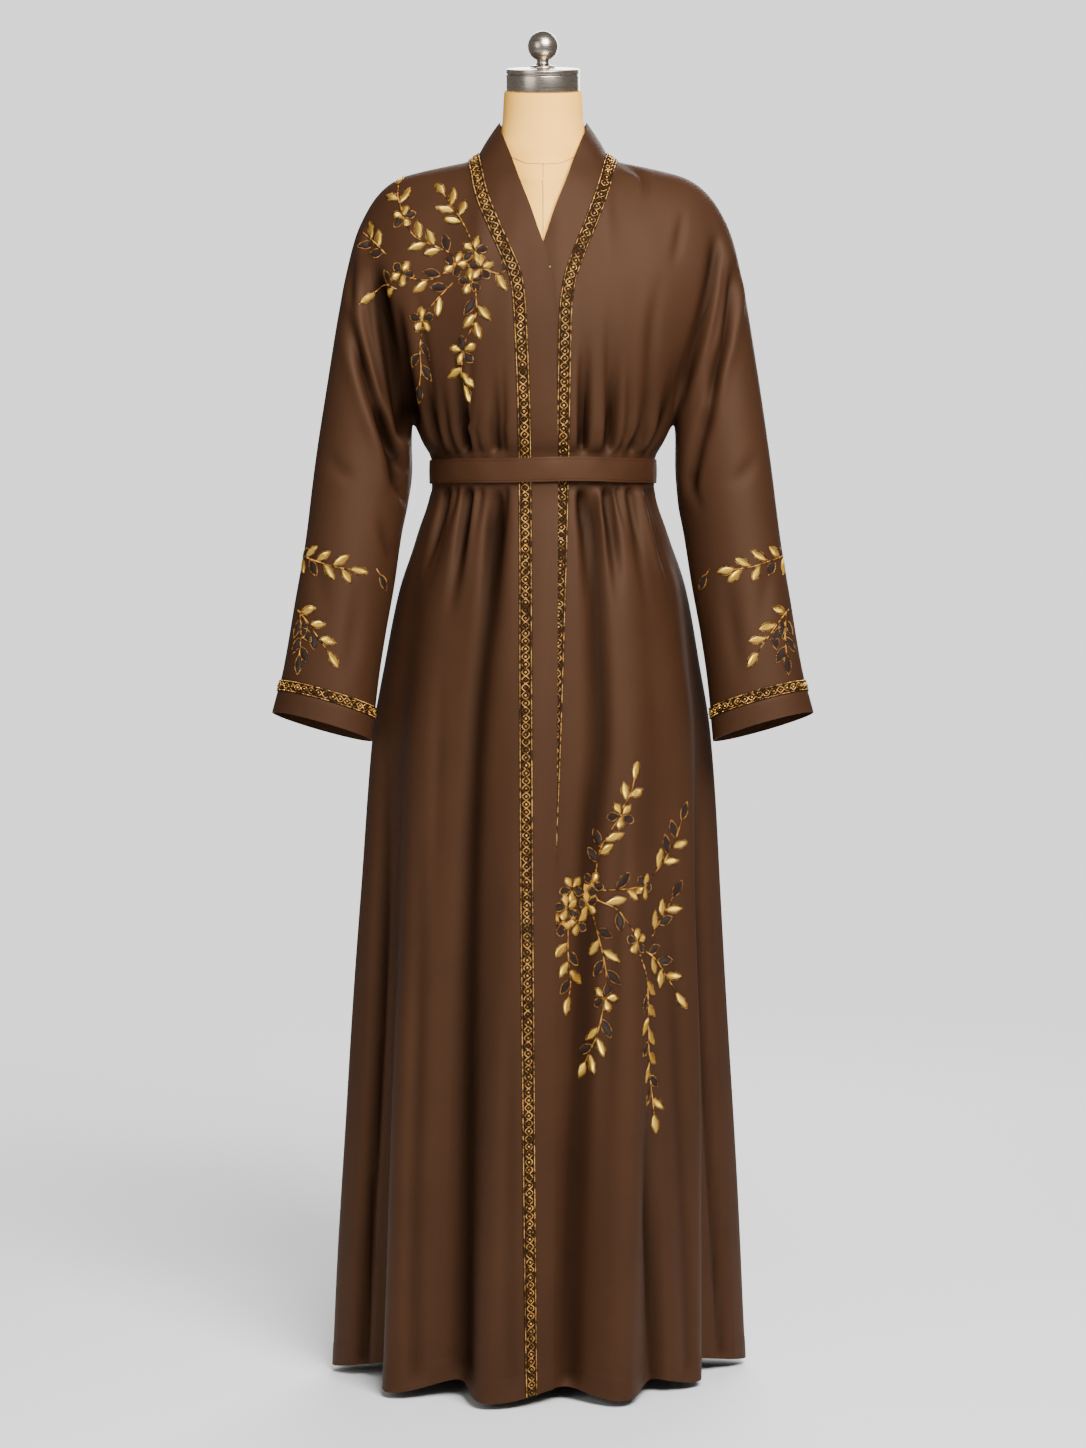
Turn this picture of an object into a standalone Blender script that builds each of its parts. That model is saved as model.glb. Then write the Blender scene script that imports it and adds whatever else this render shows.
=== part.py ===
"""Open abaya cloak worn on a limbless dress form.

The tables are in millimetres and the model is in metres. +Z is up, the front faces -Y,
and +X is the wearer's left. The origin is on the floor, under the pole.

The cloth is worked out as one surface round the body. Below the armholes a point is
given by its angle and height, and above them by its distance from the middle and its
share of the way up to the shoulder. Each cut piece is a patch of that surface with a
wall of its own. Neighbours share the points and the directions of their seam, so their
walls meet with an even gap, which Solidify on single pieces would not give.
"""

import math
from collections import namedtuple

import bmesh
import bpy
import numpy as np

MM = 0.001

# Cloth and seams
WALL = 1.6
SEAM_GAP = 0.36
TRIM_WIDTH = 15.6
TRIM_LOW = 0.35
TRIM_HIGH = 1.5
OVERLAP_LIFT = 5.0
OVERLAP_START_X = -120.0
OVERLAP_GROWTH = 50.0
OVERLAP_TOP = 1415.0
OVERLAP_FADE = 60.0
HEM_HEIGHT = 8.0
FOLD_GROWTH = 1.1
GATHER_START = 0.12
SHARP_ANGLE = math.radians(50)

# Waist
BELT_BOTTOM = 1074.0
BELT_TOP = 1102.0
BELT_WALL = 2.0
BELT_CLEARANCE = 0.8
BELT_LIFT_X = 125.0
BELT_LIFT_EASE = 70.0
CALM_BELOW = 1070.0
CALM_ABOVE = 1106.0

# Shoulders, neck and armholes
UNDERARM_HEIGHT = 1137.0
SHOULDER_TIP_X = 205.0
SHOULDER_TIP_HEIGHT = 1408.0
NECK_SIDE_X = 75.6
NECK_SIDE_HEIGHT = 1465.0
TRIM_TURN_X = 88.0
TRIM_TURN_HEIGHT = 1456.0
# Heights at even steps from the trim's turn out to the tip. Front and back both have
# a column at each step, so their shoulder seam bends at the same places.
SHOULDER_STEPS = [TRIM_TURN_HEIGHT, 1451.5, 1447.5, 1443.0, 1437.5, 1427.0, SHOULDER_TIP_HEIGHT]
SHOULDER_Y = 5.0
BACK_NECK_Y = 62.0
BACK_NECK_HEIGHT = 1452.0
BAND_TOP_HALF_WIDTH = 52.0
BAND_TOP_HEIGHT = 1501.0
BAND_TOP_BACK_HEIGHT = 1494.0
BAND_TOP_BACK_Y = 54.0
BAND_TURN_SHARE = 0.62
BAND_TURN_REACH = 0.12
BAND_ROLL = 1.02
TROUGH_FRONT_Y = -4.0
TROUGH_EASE = 25.0

# Cuffs
CUFF_STRAIGHT = 90.0
CUFF_TRIM_EDGE = 26.0
CUFF_TRIM_WIDTH = 13.0
CUFF_LEAN = 60.0
CUFF_TILT = math.radians(11)
SLEEVE_HALF_DEPTH = 56.0
CUFF_HALF_DEPTH = 45.0
ARMHOLE_BLEND = 0.35
ARM_MIDDLE = (235.0, -20.0, 1080.0)

# Stand
BASE_RADIUS = 125.0
BASE_THICKNESS = 9.0
BASE_SET_BACK = 30.0
POLE_RADIUS = 14.0
CAP_RADIUS = 43.8
CAP_HEIGHT = 26.0
CAP_TILT = math.radians(10)
BALL_RADIUS = 18.0
BALL_NECK_RADIUS = 7.0
BALL_NECK_HEIGHT = 6.5
BALL_FOOT_RADIUS = 15.5
NECK_RISE_WIDTH = 45.0
STAND_GAP = 0.3
RIDGE_GAP = 0.7

# Mesh fineness
FRONT_COLUMNS = 18
BACK_COLUMNS = 18
NECKLINE_COLUMNS = 5
BELT_SIDES = 56
FORM_SIDES = 24
SKIRT_ROWS = [HEM_HEIGHT, 150, 300, 450, 600, 730, 840, 920, 980, 1025, 1053, CALM_BELOW]
BODICE_ROWS = [1088, CALM_ABOVE, 1121, UNDERARM_HEIGHT]
CHEST_ROWS = [0.06, 0.14, 0.24, 0.36, 0.48, 0.6, 0.7, 0.79, 0.87, 0.93, 0.97, 0.992, 1.0]
SLEEVE_ROWS = [0.05, 0.11, 0.18, 0.26, 0.35, 0.46, 0.58, 0.72, 0.85]

BodyRing = namedtuple("BodyRing", "height half_width front_depth back_depth")
BODY = [
    BodyRing(8, 246, 190, 212),
    BodyRing(154, 240, 184, 205),
    BodyRing(334, 230, 176, 195),
    BodyRing(573, 215, 160, 178),
    BodyRing(772, 202, 146, 160),
    BodyRing(860, 188, 137, 148),
    BodyRing(946, 172, 126, 134),
    BodyRing(1010, 151, 115, 118),
    BodyRing(1070, 133, 104, 100),
    BodyRing(1106, 133, 104, 100),
    BodyRing(1120, 145, 110, 106),
    BodyRing(1137, 155, 113, 110),
]

# Angles are in degrees from the middle of the front, positive towards +X.
Fold = namedtuple("Fold", "waist_angle hem_angle hem_radius hem_lift")
SKIRT_FOLDS = [
    Fold(-163, -163, 220, 0),
    Fold(-147, -147, 182, 12),
    Fold(-131, -131, 232, 0),
    Fold(-112, -112, 196, 12),
    Fold(-88, -88, 256, 0),
    Fold(-72, -71, 190, 14),
    Fold(-54, -51.5, 231, 0),
    Fold(-30, -35, 172, 15),
    Fold(-3, -18.5, 202, 0),
    Fold(28, 9, 156, 10),
    Fold(44, 27, 206, 0),
    Fold(58, 46, 180, 10),
    Fold(69, 63, 207, 0),
    Fold(81, 79, 184, 12),
    Fold(95, 96, 249, 0),
    Fold(113, 113, 195, 12),
    Fold(130, 130, 232, 0),
    Fold(146, 146, 184, 12),
    Fold(162, 162, 222, 0),
    Fold(179, 179, 172, 14),
]

# Gathers drawn in by the belt: half-width in degrees, depth and reach in millimetres.
Gather = namedtuple("Gather", "angle half_width depth reach_up reach_down")
GATHERS = [
    Gather(-66, 4.5, 5.0, 130, 150),
    Gather(-47, 4.5, 6.0, 150, 170),
    Gather(-28, 5.0, 4.5, 110, 190),
    Gather(24, 4.5, 5.5, 150, 150),
    Gather(41, 4.5, 5.5, 150, 130),
    Gather(57, 4.0, 3.5, 90, 110),
    Gather(71, 4.5, 6.0, 130, 150),
    Gather(107, 5.0, 5.0, 120, 140),
    Gather(123, 5.0, 5.5, 150, 170),
    Gather(141, 5.0, 4.5, 120, 130),
    Gather(160, 5.0, 5.5, 150, 160),
    Gather(-176, 5.0, 5.0, 130, 150),
    Gather(-157, 5.0, 5.0, 120, 160),
    Gather(-137, 5.0, 5.5, 150, 140),
    Gather(-117, 5.0, 4.5, 120, 150),
    Gather(-101, 5.0, 5.0, 130, 130),
]

# Where the band seams and the band's free edges run, seen from the front.
FrontLine = namedtuple("FrontLine", "height right_seam right_edge left_seam left_edge")
FRONT_LINES = [
    FrontLine(8, -8, 12, -23, -53),
    FrontLine(334, -9.5, 13, -12, -41),
    FrontLine(573, -11, 15, -2, -31),
    FrontLine(800, -12, 17, 7, -22),
    FrontLine(1088, -13, 17.5, 15, -15),
    FrontLine(1273, -19, 13.7, 18.5, -13.5),
    FrontLine(1310, -23, 10.5, 23.4, -10),
    FrontLine(1344, -35.6, 2.9, 34.6, -2.5),
    FrontLine(1380, -51.8, -9.4, 49, 9.4),
    FrontLine(1418, -65.7, -24, 62.5, 23.5),
    FrontLine(1465, -75.6, -50, 75.6, 50),
]

# The chest and the upper back, by share of the way up to the shoulder.
ChestRing = namedtuple("ChestRing", "share half_width front_depth back_depth armhole_x")
CHEST = [
    ChestRing(0.0, 155, 113, 110, 155),
    ChestRing(0.1, 166, 114, 112, 158),
    ChestRing(0.38, 207, 115, 113, 180),
    ChestRing(0.65, 240, 113, 112, 204),
    ChestRing(0.85, 244, 112, 110, 207),
    ChestRing(1.0, 244, 112, 108, 205),
]

# The free edge of the band above the chest, where it turns to lie along the neck.
BandEdge = namedtuple("BandEdge", "share half_x y height")
BAND_RISE = [
    BandEdge(0.70, 5.0, -90, 1367),
    BandEdge(0.79, 15.0, -83, 1397),
    BandEdge(0.87, 27.5, -70, 1429),
    BandEdge(0.93, 38.0, -48, 1459),
    BandEdge(0.97, 46.5, -33, 1480),
    BandEdge(0.992, 51.0, -16, 1492),
    BandEdge(1.0, BAND_TOP_HALF_WIDTH, 0, BAND_TOP_HEIGHT),
]

# The sleeve's outline from the front: its outer line from the shoulder tip and its
# inner line from the underarm, both down to the cuff.
SLEEVE_OUTER = [
    (SHOULDER_TIP_X, SHOULDER_TIP_HEIGHT),
    (222, 1372),
    (238, 1305),
    (256, 1197),
    (270, 1102),
    (282, 1006),
    (294, 934),
    (308, 850),
    (320, 802),
]
SLEEVE_INNER = [
    (155, UNDERARM_HEIGHT),
    (158, 1085),
    (161, 1049),
    (167, 1016),
    (176, 955),
    (187, 893),
    (195, 838),
    (202, 769),
]

# Soft troughs that the sleeve's drop pulls into the cloth, seen from the front.
Trough = namedtuple("Trough", "points half_width depth")
DRAPE_TROUGHS = [
    Trough([(226, 1334), (224, 1300), (214, 1244), (203, 1200), (190, 1118)], 9, 9),
    Trough([(205, 1376), (203, 1334), (190, 1272), (170, 1202), (157, 1150)], 8, 5),
    Trough([(196, 1170), (182, 1112), (170, 1050)], 8, 5),
]

FormRing = namedtuple("FormRing", "height half_width front back neck_share centre_y")
MATERIALS = {
    "crepe": ((0.115, 0.058, 0.035), 0.62, 0.0),
    "braid": ((0.36, 0.20, 0.05), 0.42, 0.6),
    "form_cloth": ((0.80, 0.62, 0.38), 0.8, 0.0),
    "nickel": ((0.55, 0.53, 0.50), 0.32, 1.0),
    "iron": ((0.05, 0.05, 0.05), 0.5, 0.8),
}


def clear_scene():
    for old in list(bpy.data.objects):
        bpy.data.objects.remove(old, do_unlink=True)


def make_collection(name):
    collection = bpy.data.collections.new(name)
    bpy.context.scene.collection.children.link(collection)
    return collection


def make_material(name):
    colour, roughness, metallic = MATERIALS[name]
    found = bpy.data.materials.get(name)
    if found:
        return found
    made = bpy.data.materials.new(name)
    made.use_nodes = True
    shader = made.node_tree.nodes["Principled BSDF"]
    shader.inputs["Base Color"].default_value = (*colour, 1.0)
    shader.inputs["Roughness"].default_value = roughness
    shader.inputs["Metallic"].default_value = metallic
    return made


def add_object(name, mesh, material, collection):
    made = bpy.data.objects.new(name, mesh)
    collection.objects.link(made)
    mesh.materials.append(make_material(material))
    return made


# Reading the tables


def smooth_read(at, places, values):
    """A smooth curve through the values that never overshoots them."""
    places = np.asarray(places, float)
    values = np.asarray(values, float)
    slopes = np.diff(values) / np.diff(places)
    tangents = np.zeros(len(values))
    for i in range(1, len(values) - 1):
        before, after = slopes[i - 1], slopes[i]
        if before * after > 0:
            tangents[i] = 2 * before * after / (before + after)
    tangents[0], tangents[-1] = slopes[0], slopes[-1]
    at = np.clip(at, places[0], places[-1])
    i = np.clip(np.searchsorted(places, at) - 1, 0, len(slopes) - 1)
    width = places[i + 1] - places[i]
    s = (at - places[i]) / width
    rise = values[i + 1] - values[i]
    return (
        values[i]
        + s * width * tangents[i]
        + s**2 * (3 * rise - width * (2 * tangents[i] + tangents[i + 1]))
        + s**3 * (width * (tangents[i] + tangents[i + 1]) - 2 * rise)
    )


def read(table, column, at):
    return smooth_read(at, [row[0] for row in table], [getattr(row, column) for row in table])


def ease(x):
    x = np.clip(x, 0.0, 1.0)
    return x * x * (3 - 2 * x)


# The cloth's surface below the armholes


def ellipse_radius(angle, half_width, depth):
    return 1 / np.sqrt((np.sin(angle) / half_width) ** 2 + (np.cos(angle) / depth) ** 2)


def mean_radius(angle, height):
    half_width = read(BODY, "half_width", height)
    front = read(BODY, "front_depth", height)
    back = read(BODY, "back_depth", height)
    return ellipse_radius(angle, half_width, np.where(np.cos(angle) > 0, front, back))


def between_folds(angle, height, values):
    """Eases from each fold line's value to the next one's, round the body."""
    down = 1 - (height - HEM_HEIGHT) / (CALM_BELOW - HEM_HEIGHT)
    lines = [math.radians(f.waist_angle + (f.hem_angle - f.waist_angle) * down) for f in SKIRT_FOLDS]
    turn = (angle - lines[0]) % (2 * math.pi) + lines[0]
    lines.append(lines[0] + 2 * math.pi)
    i = min(int(np.searchsorted(lines, turn, side="right")) - 1, len(values) - 1)
    share = (turn - lines[i]) / (lines[i + 1] - lines[i])
    after = values[(i + 1) % len(values)]
    return values[i] + (after - values[i]) * (1 - math.cos(math.pi * share)) / 2


FOLD_DEPTHS = [
    f.hem_radius - float(mean_radius(math.radians(f.hem_angle), HEM_HEIGHT)) for f in SKIRT_FOLDS
]
FOLD_LIFTS = [f.hem_lift for f in SKIRT_FOLDS]


def fold_depth(angle, height):
    if height >= CALM_BELOW:
        return 0.0
    grown = (1 - (height - HEM_HEIGHT) / (CALM_BELOW - HEM_HEIGHT)) ** FOLD_GROWTH
    return grown * between_folds(angle, height, FOLD_DEPTHS)


def gather_depth(angle, height):
    """How far the gathers at the belt pull the cloth in."""
    total = 0.0
    for g in GATHERS:
        off = (math.degrees(angle) - g.angle + 180) % 360 - 180
        if height > CALM_ABOVE:
            along = (height - CALM_ABOVE) / g.reach_up
        elif height < CALM_BELOW:
            along = (CALM_BELOW - height) / g.reach_down
        else:
            continue
        strength = ease(along / GATHER_START) * (1 - ease(along))
        total += g.depth * strength * math.exp(-((off / g.half_width) ** 2))
    return total


def overlap_lift(x, height):
    """The wearer's right front lies over the left one."""
    across = ease((x - OVERLAP_START_X) / OVERLAP_GROWTH)
    return OVERLAP_LIFT * across * ease((OVERLAP_TOP - height) / OVERLAP_FADE)


def lifted_height(angle, height):
    down = 1 - (height - HEM_HEIGHT) / (CALM_BELOW - HEM_HEIGHT)
    if down <= 0:
        return height
    return height + between_folds(angle, height, FOLD_LIFTS) * down**2


def ring_point(angle, height, over=False):
    radius = float(mean_radius(angle, height)) + fold_depth(angle, height)
    radius -= gather_depth(angle, height)
    if over:
        radius += overlap_lift(radius * math.sin(angle), height)
    x, y = radius * math.sin(angle), -radius * math.cos(angle)
    return np.array([x, y, lifted_height(angle, height)])


def angle_at(x, height, over=False):
    """The angle in front at which the ring reaches a distance from the middle."""
    angle = math.asin(x / 200)
    for _ in range(30):
        found = ring_point(angle, height, over)
        angle += 0.7 * (x - found[0]) / math.hypot(found[0], found[1])
    return angle


def angle_along(angle, distance, height, over):
    """The angle at a distance along the cloth from another angle."""
    step = math.radians(0.5)
    here = ring_point(angle, height, over)
    there = ring_point(angle + step, height, over)
    return angle + step * distance / float(np.linalg.norm(there - here))


# The cloth's surface above the armholes' lowest point


def shoulder_height(x):
    places = [NECK_SIDE_X, *np.linspace(TRIM_TURN_X, SHOULDER_TIP_X, len(SHOULDER_STEPS))]
    return float(np.interp(abs(x), places, [NECK_SIDE_HEIGHT, *SHOULDER_STEPS]))


def roundness(share):
    """Full depth on the chest, falling away to nothing on the shoulder line."""
    return math.sqrt(max(0.0, 1 - share**3))


def upper_gather(x, y, height):
    return gather_depth(math.atan2(x, -y), height)


def chest_depth(x, share, column):
    depth = float(read(CHEST, column, share))
    half_width = float(read(CHEST, "half_width", share))
    return depth * math.sqrt(max(0.0, 1 - (x / half_width) ** 2))


def chest_point(x, share, over=False):
    height = UNDERARM_HEIGHT + share * (shoulder_height(x) - UNDERARM_HEIGHT)
    y = SHOULDER_Y * (1 - roundness(share)) - chest_depth(x, share, "front_depth") * roundness(share)
    radial = np.array([x, y]) / math.hypot(x, y)
    x, y = np.array([x, y]) - radial * upper_gather(x, y, height)
    if over:
        y -= overlap_lift(x, height)
    return np.array([x, y, height])


def back_point(x, share):
    bend = math.sqrt(max(0.0, 1 - (x / NECK_SIDE_X) ** 2))
    top_y = SHOULDER_Y + (BACK_NECK_Y - SHOULDER_Y) * bend
    top = shoulder_height(x) - (NECK_SIDE_HEIGHT - BACK_NECK_HEIGHT) * bend
    height = UNDERARM_HEIGHT + share * (top - UNDERARM_HEIGHT)
    y = top_y * (1 - roundness(share)) + chest_depth(x, share, "back_depth") * roundness(share)
    radial = np.array([x, y]) / math.hypot(x, y)
    x, y = np.array([x, y]) - radial * upper_gather(x, y, height)
    return np.array([x, y, height])


def line_x(column, height):
    return float(read(FRONT_LINES, column, height))


def seam_height(share):
    return UNDERARM_HEIGHT + share * (NECK_SIDE_HEIGHT - UNDERARM_HEIGHT)


def trim_reach(seam, outward, share, over):
    """How far across a row the trim reaches, so that it keeps its width square to the seam."""
    if share >= 1:
        return TRIM_TURN_X - NECK_SIDE_X
    step = 0.004
    ahead = line_x(seam, seam_height(share + step))
    here = line_x(seam, seam_height(share))
    start = chest_point(here, share, over)
    along = chest_point(ahead, share + step, over) - start
    across = chest_point(here + outward, share, over) - start
    square = np.linalg.norm(np.cross(along, across)) / np.linalg.norm(along)
    return TRIM_WIDTH / max(float(square), 0.9)


# Troughs pulled by the sleeves


def distance_to_line(x, z, points):
    """The distance from a path and the share of the way along it."""
    best, where = 1e9, 0.0
    pieces = len(points) - 1
    for i in range(pieces):
        (x0, z0), (x1, z1) = points[i], points[i + 1]
        length = math.hypot(x1 - x0, z1 - z0)
        s = ((x - x0) * (x1 - x0) + (z - z0) * (z1 - z0)) / length**2
        s = min(1.0, max(0.0, s))
        away = math.hypot(x - x0 - s * (x1 - x0), z - z0 - s * (z1 - z0))
        if away < best:
            best, where = away, (i + s) / pieces
    return best, where


def press_troughs(points):
    """Presses the drape's troughs into the points that face forward."""
    moved = points.copy()
    for index in np.ndindex(points.shape[:-1]):
        x, y, z = points[index]
        if y > TROUGH_FRONT_Y:
            continue
        for trough in DRAPE_TROUGHS:
            away, where = distance_to_line(abs(x), z, trough.points)
            taper = ease(where / 0.25) * ease((1 - where) / 0.25)
            depth = trough.depth * taper * math.exp(-((away / trough.half_width) ** 2))
            moved[index][1] += depth * ease((TROUGH_FRONT_Y - y) / TROUGH_EASE)
    return moved


# Grids of points for the cut pieces, rows from the hem up


def front_grid(side):
    """The front on one side: -1 is the wearer's right, 1 the left."""
    over = side < 0
    seam = "right_seam" if over else "left_seam"
    rows = []
    for height in SKIRT_ROWS + BODICE_ROWS:
        start = angle_at(line_x(seam, height), height, over)
        trim_mid = angle_along(start, side * TRIM_WIDTH / 2, height, over)
        trim_end = angle_along(start, side * TRIM_WIDTH, height, over)
        rest = np.linspace(trim_end, side * math.pi / 2, FRONT_COLUMNS + 1)
        angles = [start, trim_mid, *rest]
        rows.append([ring_point(a, height, over) for a in angles])
    base = np.array(rows[-1])[2:, 0]
    base_share = (base - base[0]) / (base[-1] - base[0])
    even = np.linspace(0, 1, FRONT_COLUMNS + 1)
    for share in CHEST_ROWS:
        start = line_x(seam, seam_height(share))
        reach = side * trim_reach(seam, side, share, over)
        spread = base_share + (even - base_share) * float(ease(share / 0.5))
        end = side * float(read(CHEST, "armhole_x", share))
        rest = start + reach + (end - start - reach) * spread
        rows.append([chest_point(x, share, over) for x in [start, start + reach / 2, *rest]])
    return press_troughs(np.array(rows))


def neckline_positions():
    """Distances from the middle at which the back's columns meet its top edge."""
    turn = np.linspace(0, math.pi / 2, NECKLINE_COLUMNS + 1)
    corner = (NECK_SIDE_X + TRIM_TURN_X) / 2
    rest = np.linspace(TRIM_TURN_X, SHOULDER_TIP_X, BACK_COLUMNS - NECKLINE_COLUMNS)
    return np.array([*(NECK_SIDE_X * np.sin(turn)), corner, *rest])


def top_squeeze(x):
    """Draws the back's top rows together so that they keep the trim's width."""
    return float(np.interp(abs(x), [0, 40, 65, NECK_SIDE_X, TRIM_TURN_X, 135], [0.95, 0.9, 0.6, 0.2, 0.22, 1]))


def back_grid():
    half_angles = np.linspace(math.pi, math.pi / 2, len(neckline_positions()))
    rows = []
    for height in SKIRT_ROWS + BODICE_ROWS:
        left = [ring_point(a, height) for a in half_angles]
        right = [ring_point(-a, height) for a in half_angles[1:]]
        rows.append(right[::-1] + left)
    low_share = np.sin(half_angles)
    high_share = neckline_positions() / SHOULDER_TIP_X
    for share in CHEST_ROWS:
        blend = float(ease(share / 0.9))
        width = float(read(CHEST, "armhole_x", share))
        places = width * (low_share + (high_share - low_share) * blend)
        near_top = ease((share - 0.9) / 0.07)
        row = []
        for x in [*(-places[:0:-1]), *places]:
            squeeze = 1 + (top_squeeze(x) - 1) * near_top
            row.append(back_point(x, 1 - (1 - share) * squeeze))
        rows.append(row)
    return np.array(rows)


def along_path(points, distance):
    points = np.array(points, float)
    steps = np.linalg.norm(np.diff(points, axis=0), axis=1)
    lengths = np.concatenate([[0], np.cumsum(steps)])
    return np.array([smooth_read(distance, lengths, points[:, i]) for i in range(2)])


def path_length(points):
    points = np.array(points, float)
    return float(np.linalg.norm(np.diff(points, axis=0), axis=1).sum())


def sleeve_line(points, down):
    """A point on the sleeve's outer or inner line. Near the cuff both lines keep step."""
    length = path_length(points)
    straight = length - CUFF_STRAIGHT
    turn = SLEEVE_ROWS[-1]
    if down <= turn:
        return along_path(points, straight * down / turn)
    return along_path(points, straight + CUFF_STRAIGHT * (down - turn) / (1 - turn))


def cuff_share(distance):
    """The sleeve row that lies a distance above the cuff's edge."""
    return 1 - (1 - SLEEVE_ROWS[-1]) * distance / CUFF_STRAIGHT


def sleeve_oval(side, down, turns):
    outer = sleeve_line(SLEEVE_OUTER, down)
    inner = sleeve_line(SLEEVE_INNER, down)
    middle, reach = (outer + inner) / 2, (outer - inner) / 2
    half_depth = SLEEVE_HALF_DEPTH + (CUFF_HALF_DEPTH - SLEEVE_HALF_DEPTH) * down
    tilt = CUFF_TILT * down
    points = []
    for turn in turns:
        x, z = middle + reach * math.cos(turn)
        depth = half_depth * math.sin(turn)
        y = -CUFF_LEAN * down**1.2 - depth * math.cos(tilt)
        points.append([side * x, y, z + depth * math.sin(tilt)])
    return np.array(points)


def sleeve_rows():
    trim_top = cuff_share(CUFF_TRIM_EDGE + CUFF_TRIM_WIDTH)
    trim_bottom = cuff_share(CUFF_TRIM_EDGE)
    return [0.0, *SLEEVE_ROWS, trim_top, trim_bottom, 1.0]


def sleeve_grid(side, front, back):
    """Rings from the armhole, which the front and the back give, down to the cuff."""
    first = len(SKIRT_ROWS) + len(BODICE_ROWS) - 1
    fore = front[first:, -1]
    aft = back[first:, -1 if side > 0 else 0]
    armhole = np.concatenate([fore, aft[-2:0:-1]])
    shares = np.array([0.0, *CHEST_ROWS])
    rising = np.arccos(2 * shares - 1)
    turns = np.concatenate([rising, -rising[-2:0:-1]])
    correction = armhole - sleeve_oval(side, 0.0, turns)
    rings = []
    for down in sleeve_rows():
        fade = float(1 - ease(down / ARMHOLE_BLEND))
        rings.append(sleeve_oval(side, down, turns) + correction * fade)
    rings = np.array(rings)
    pressed = press_troughs(rings)
    pressed[0] = armhole
    return pressed


def band_grid(side, front, back):
    """Rows from the hem to the centre back, each from the seam to the free edge."""
    over = side < 0
    edge = "right_edge" if over else "left_edge"
    rows = []
    for i, height in enumerate(SKIRT_ROWS + BODICE_ROWS):
        seam = front[i, 0]
        end = angle_at(line_x(edge, height), height, over)
        start = math.atan2(seam[0], -seam[1])
        middle = ring_point((start + end) / 2, height, over)
        rows.append([seam, middle, ring_point(end, height, over)])
    first = len(SKIRT_ROWS) + len(BODICE_ROWS)
    places = [row.share for row in BAND_RISE]
    for i, share in enumerate(CHEST_ROWS):
        seam = front[first + i, 0]
        height = seam_height(share)
        x = line_x(edge, height)
        low = chest_point(x, share, over)
        middle = chest_point((seam[0] + x) / 2, share, over)
        rise = [smooth_read(share, places, [getattr(r, c) for r in BAND_RISE]) for c in BandEdge._fields[1:]]
        high = np.array([side * rise[0], rise[1], rise[2]])
        high[1] -= overlap_lift(high[0], high[2]) if over else 0
        blend = float(ease((share - BAND_TURN_SHARE) / BAND_TURN_REACH))
        free = low + (high - low) * blend
        middle = middle + ((seam + free) / 2 - middle) * blend
        middle[:2] *= 1 + (BAND_ROLL - 1) * blend
        rows.append([seam, middle, free])
    centre = back.shape[1] // 2
    turn = np.linspace(0, math.pi / 2, NECKLINE_COLUMNS + 1)[1:]
    for i, a in enumerate(turn):
        seam = back[-1, centre + side * (NECKLINE_COLUMNS - 1 - i)]
        drop = (BAND_TOP_HEIGHT - BAND_TOP_BACK_HEIGHT) * math.sin(a)
        x = side * BAND_TOP_HALF_WIDTH * math.cos(a)
        free = np.array([x, BAND_TOP_BACK_Y * math.sin(a), BAND_TOP_HEIGHT - drop])
        middle = (seam + free) / 2
        middle[:2] *= BAND_ROLL
        rows.append([seam, middle, free])
    return np.array(rows)


# Walls made from the grids


def grid_faces(rows, columns, closed=False):
    faces = []
    for r in range(rows - 1):
        for c in range(columns if closed else columns - 1):
            d = (c + 1) % columns
            faces.append([r * columns + c, r * columns + d, (r + 1) * columns + d, (r + 1) * columns + c])
    return faces


def split_faces(faces, points):
    """Cuts each four-sided face along its shorter diagonal, so that a piece that lies on
    another one bends where that one does."""
    cut = []
    for a, b, c, d in faces:
        first = np.linalg.norm(points[c] - points[a])
        second = np.linalg.norm(points[d] - points[b])
        cut += [[a, b, c], [a, c, d]] if first <= second else [[a, b, d], [b, c, d]]
    return cut


def outward_normals(points, faces, away_from):
    """Each point's direction out of the cloth, the mean of its faces' directions, with
    the faces turned the same way."""
    normals = np.zeros_like(points)
    for face in faces:
        a, b, c = (points[i] for i in face)
        direction = np.cross(b - a, c - a)
        for i in face:
            normals[i] += direction
    size = np.linalg.norm(normals, axis=1, keepdims=True)
    normals /= np.maximum(size, 1e-9)
    if (normals * (points - away_from)).sum() < 0:
        return -normals, [face[::-1] for face in faces]
    return normals, faces


class Patch:
    """One cut piece: its points, faces and directions out of the cloth."""

    def __init__(self, grid, middle, closed=False):
        self.shape = grid.shape[:2]
        self.points = grid.reshape(-1, 3).copy()
        faces = split_faces(grid_faces(*self.shape, closed), self.points)
        self.normals, self.faces = outward_normals(self.points, faces, middle)
        self.closed = closed

    def index(self, row, column):
        return (row % self.shape[0]) * self.shape[1] + column % self.shape[1]

    def edge(self, name):
        rows, columns = self.shape
        if name in ("first_row", "last_row"):
            row = 0 if name == "first_row" else rows - 1
            return [(self.index(row, c), self.index(row + (1 if row == 0 else -1), c)) for c in range(columns)]
        column = 0 if name == "first_column" else columns - 1
        inward = 1 if column == 0 else -1
        return [(self.index(r, column), self.index(r, column + inward)) for r in range(rows)]


def share_seams(patches):
    """Gives points that meet at a seam one direction between them.

    Where a sleeve meets both a front and the back, those two count as one.
    """
    met = {}
    for patch in patches:
        for i, point in enumerate(patch.points):
            met.setdefault(tuple(np.round(point, 3)), []).append((patch, i))
    for group in met.values():
        if len(group) < 2:
            continue
        weights = [1.0 if patch.closed or len(group) < 3 else 0.5 for patch, i in group]
        total = sum(w * patch.normals[i] for w, (patch, i) in zip(weights, group))
        total = total / np.linalg.norm(total)
        for patch, i in group:
            patch.normals[i] = total


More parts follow.
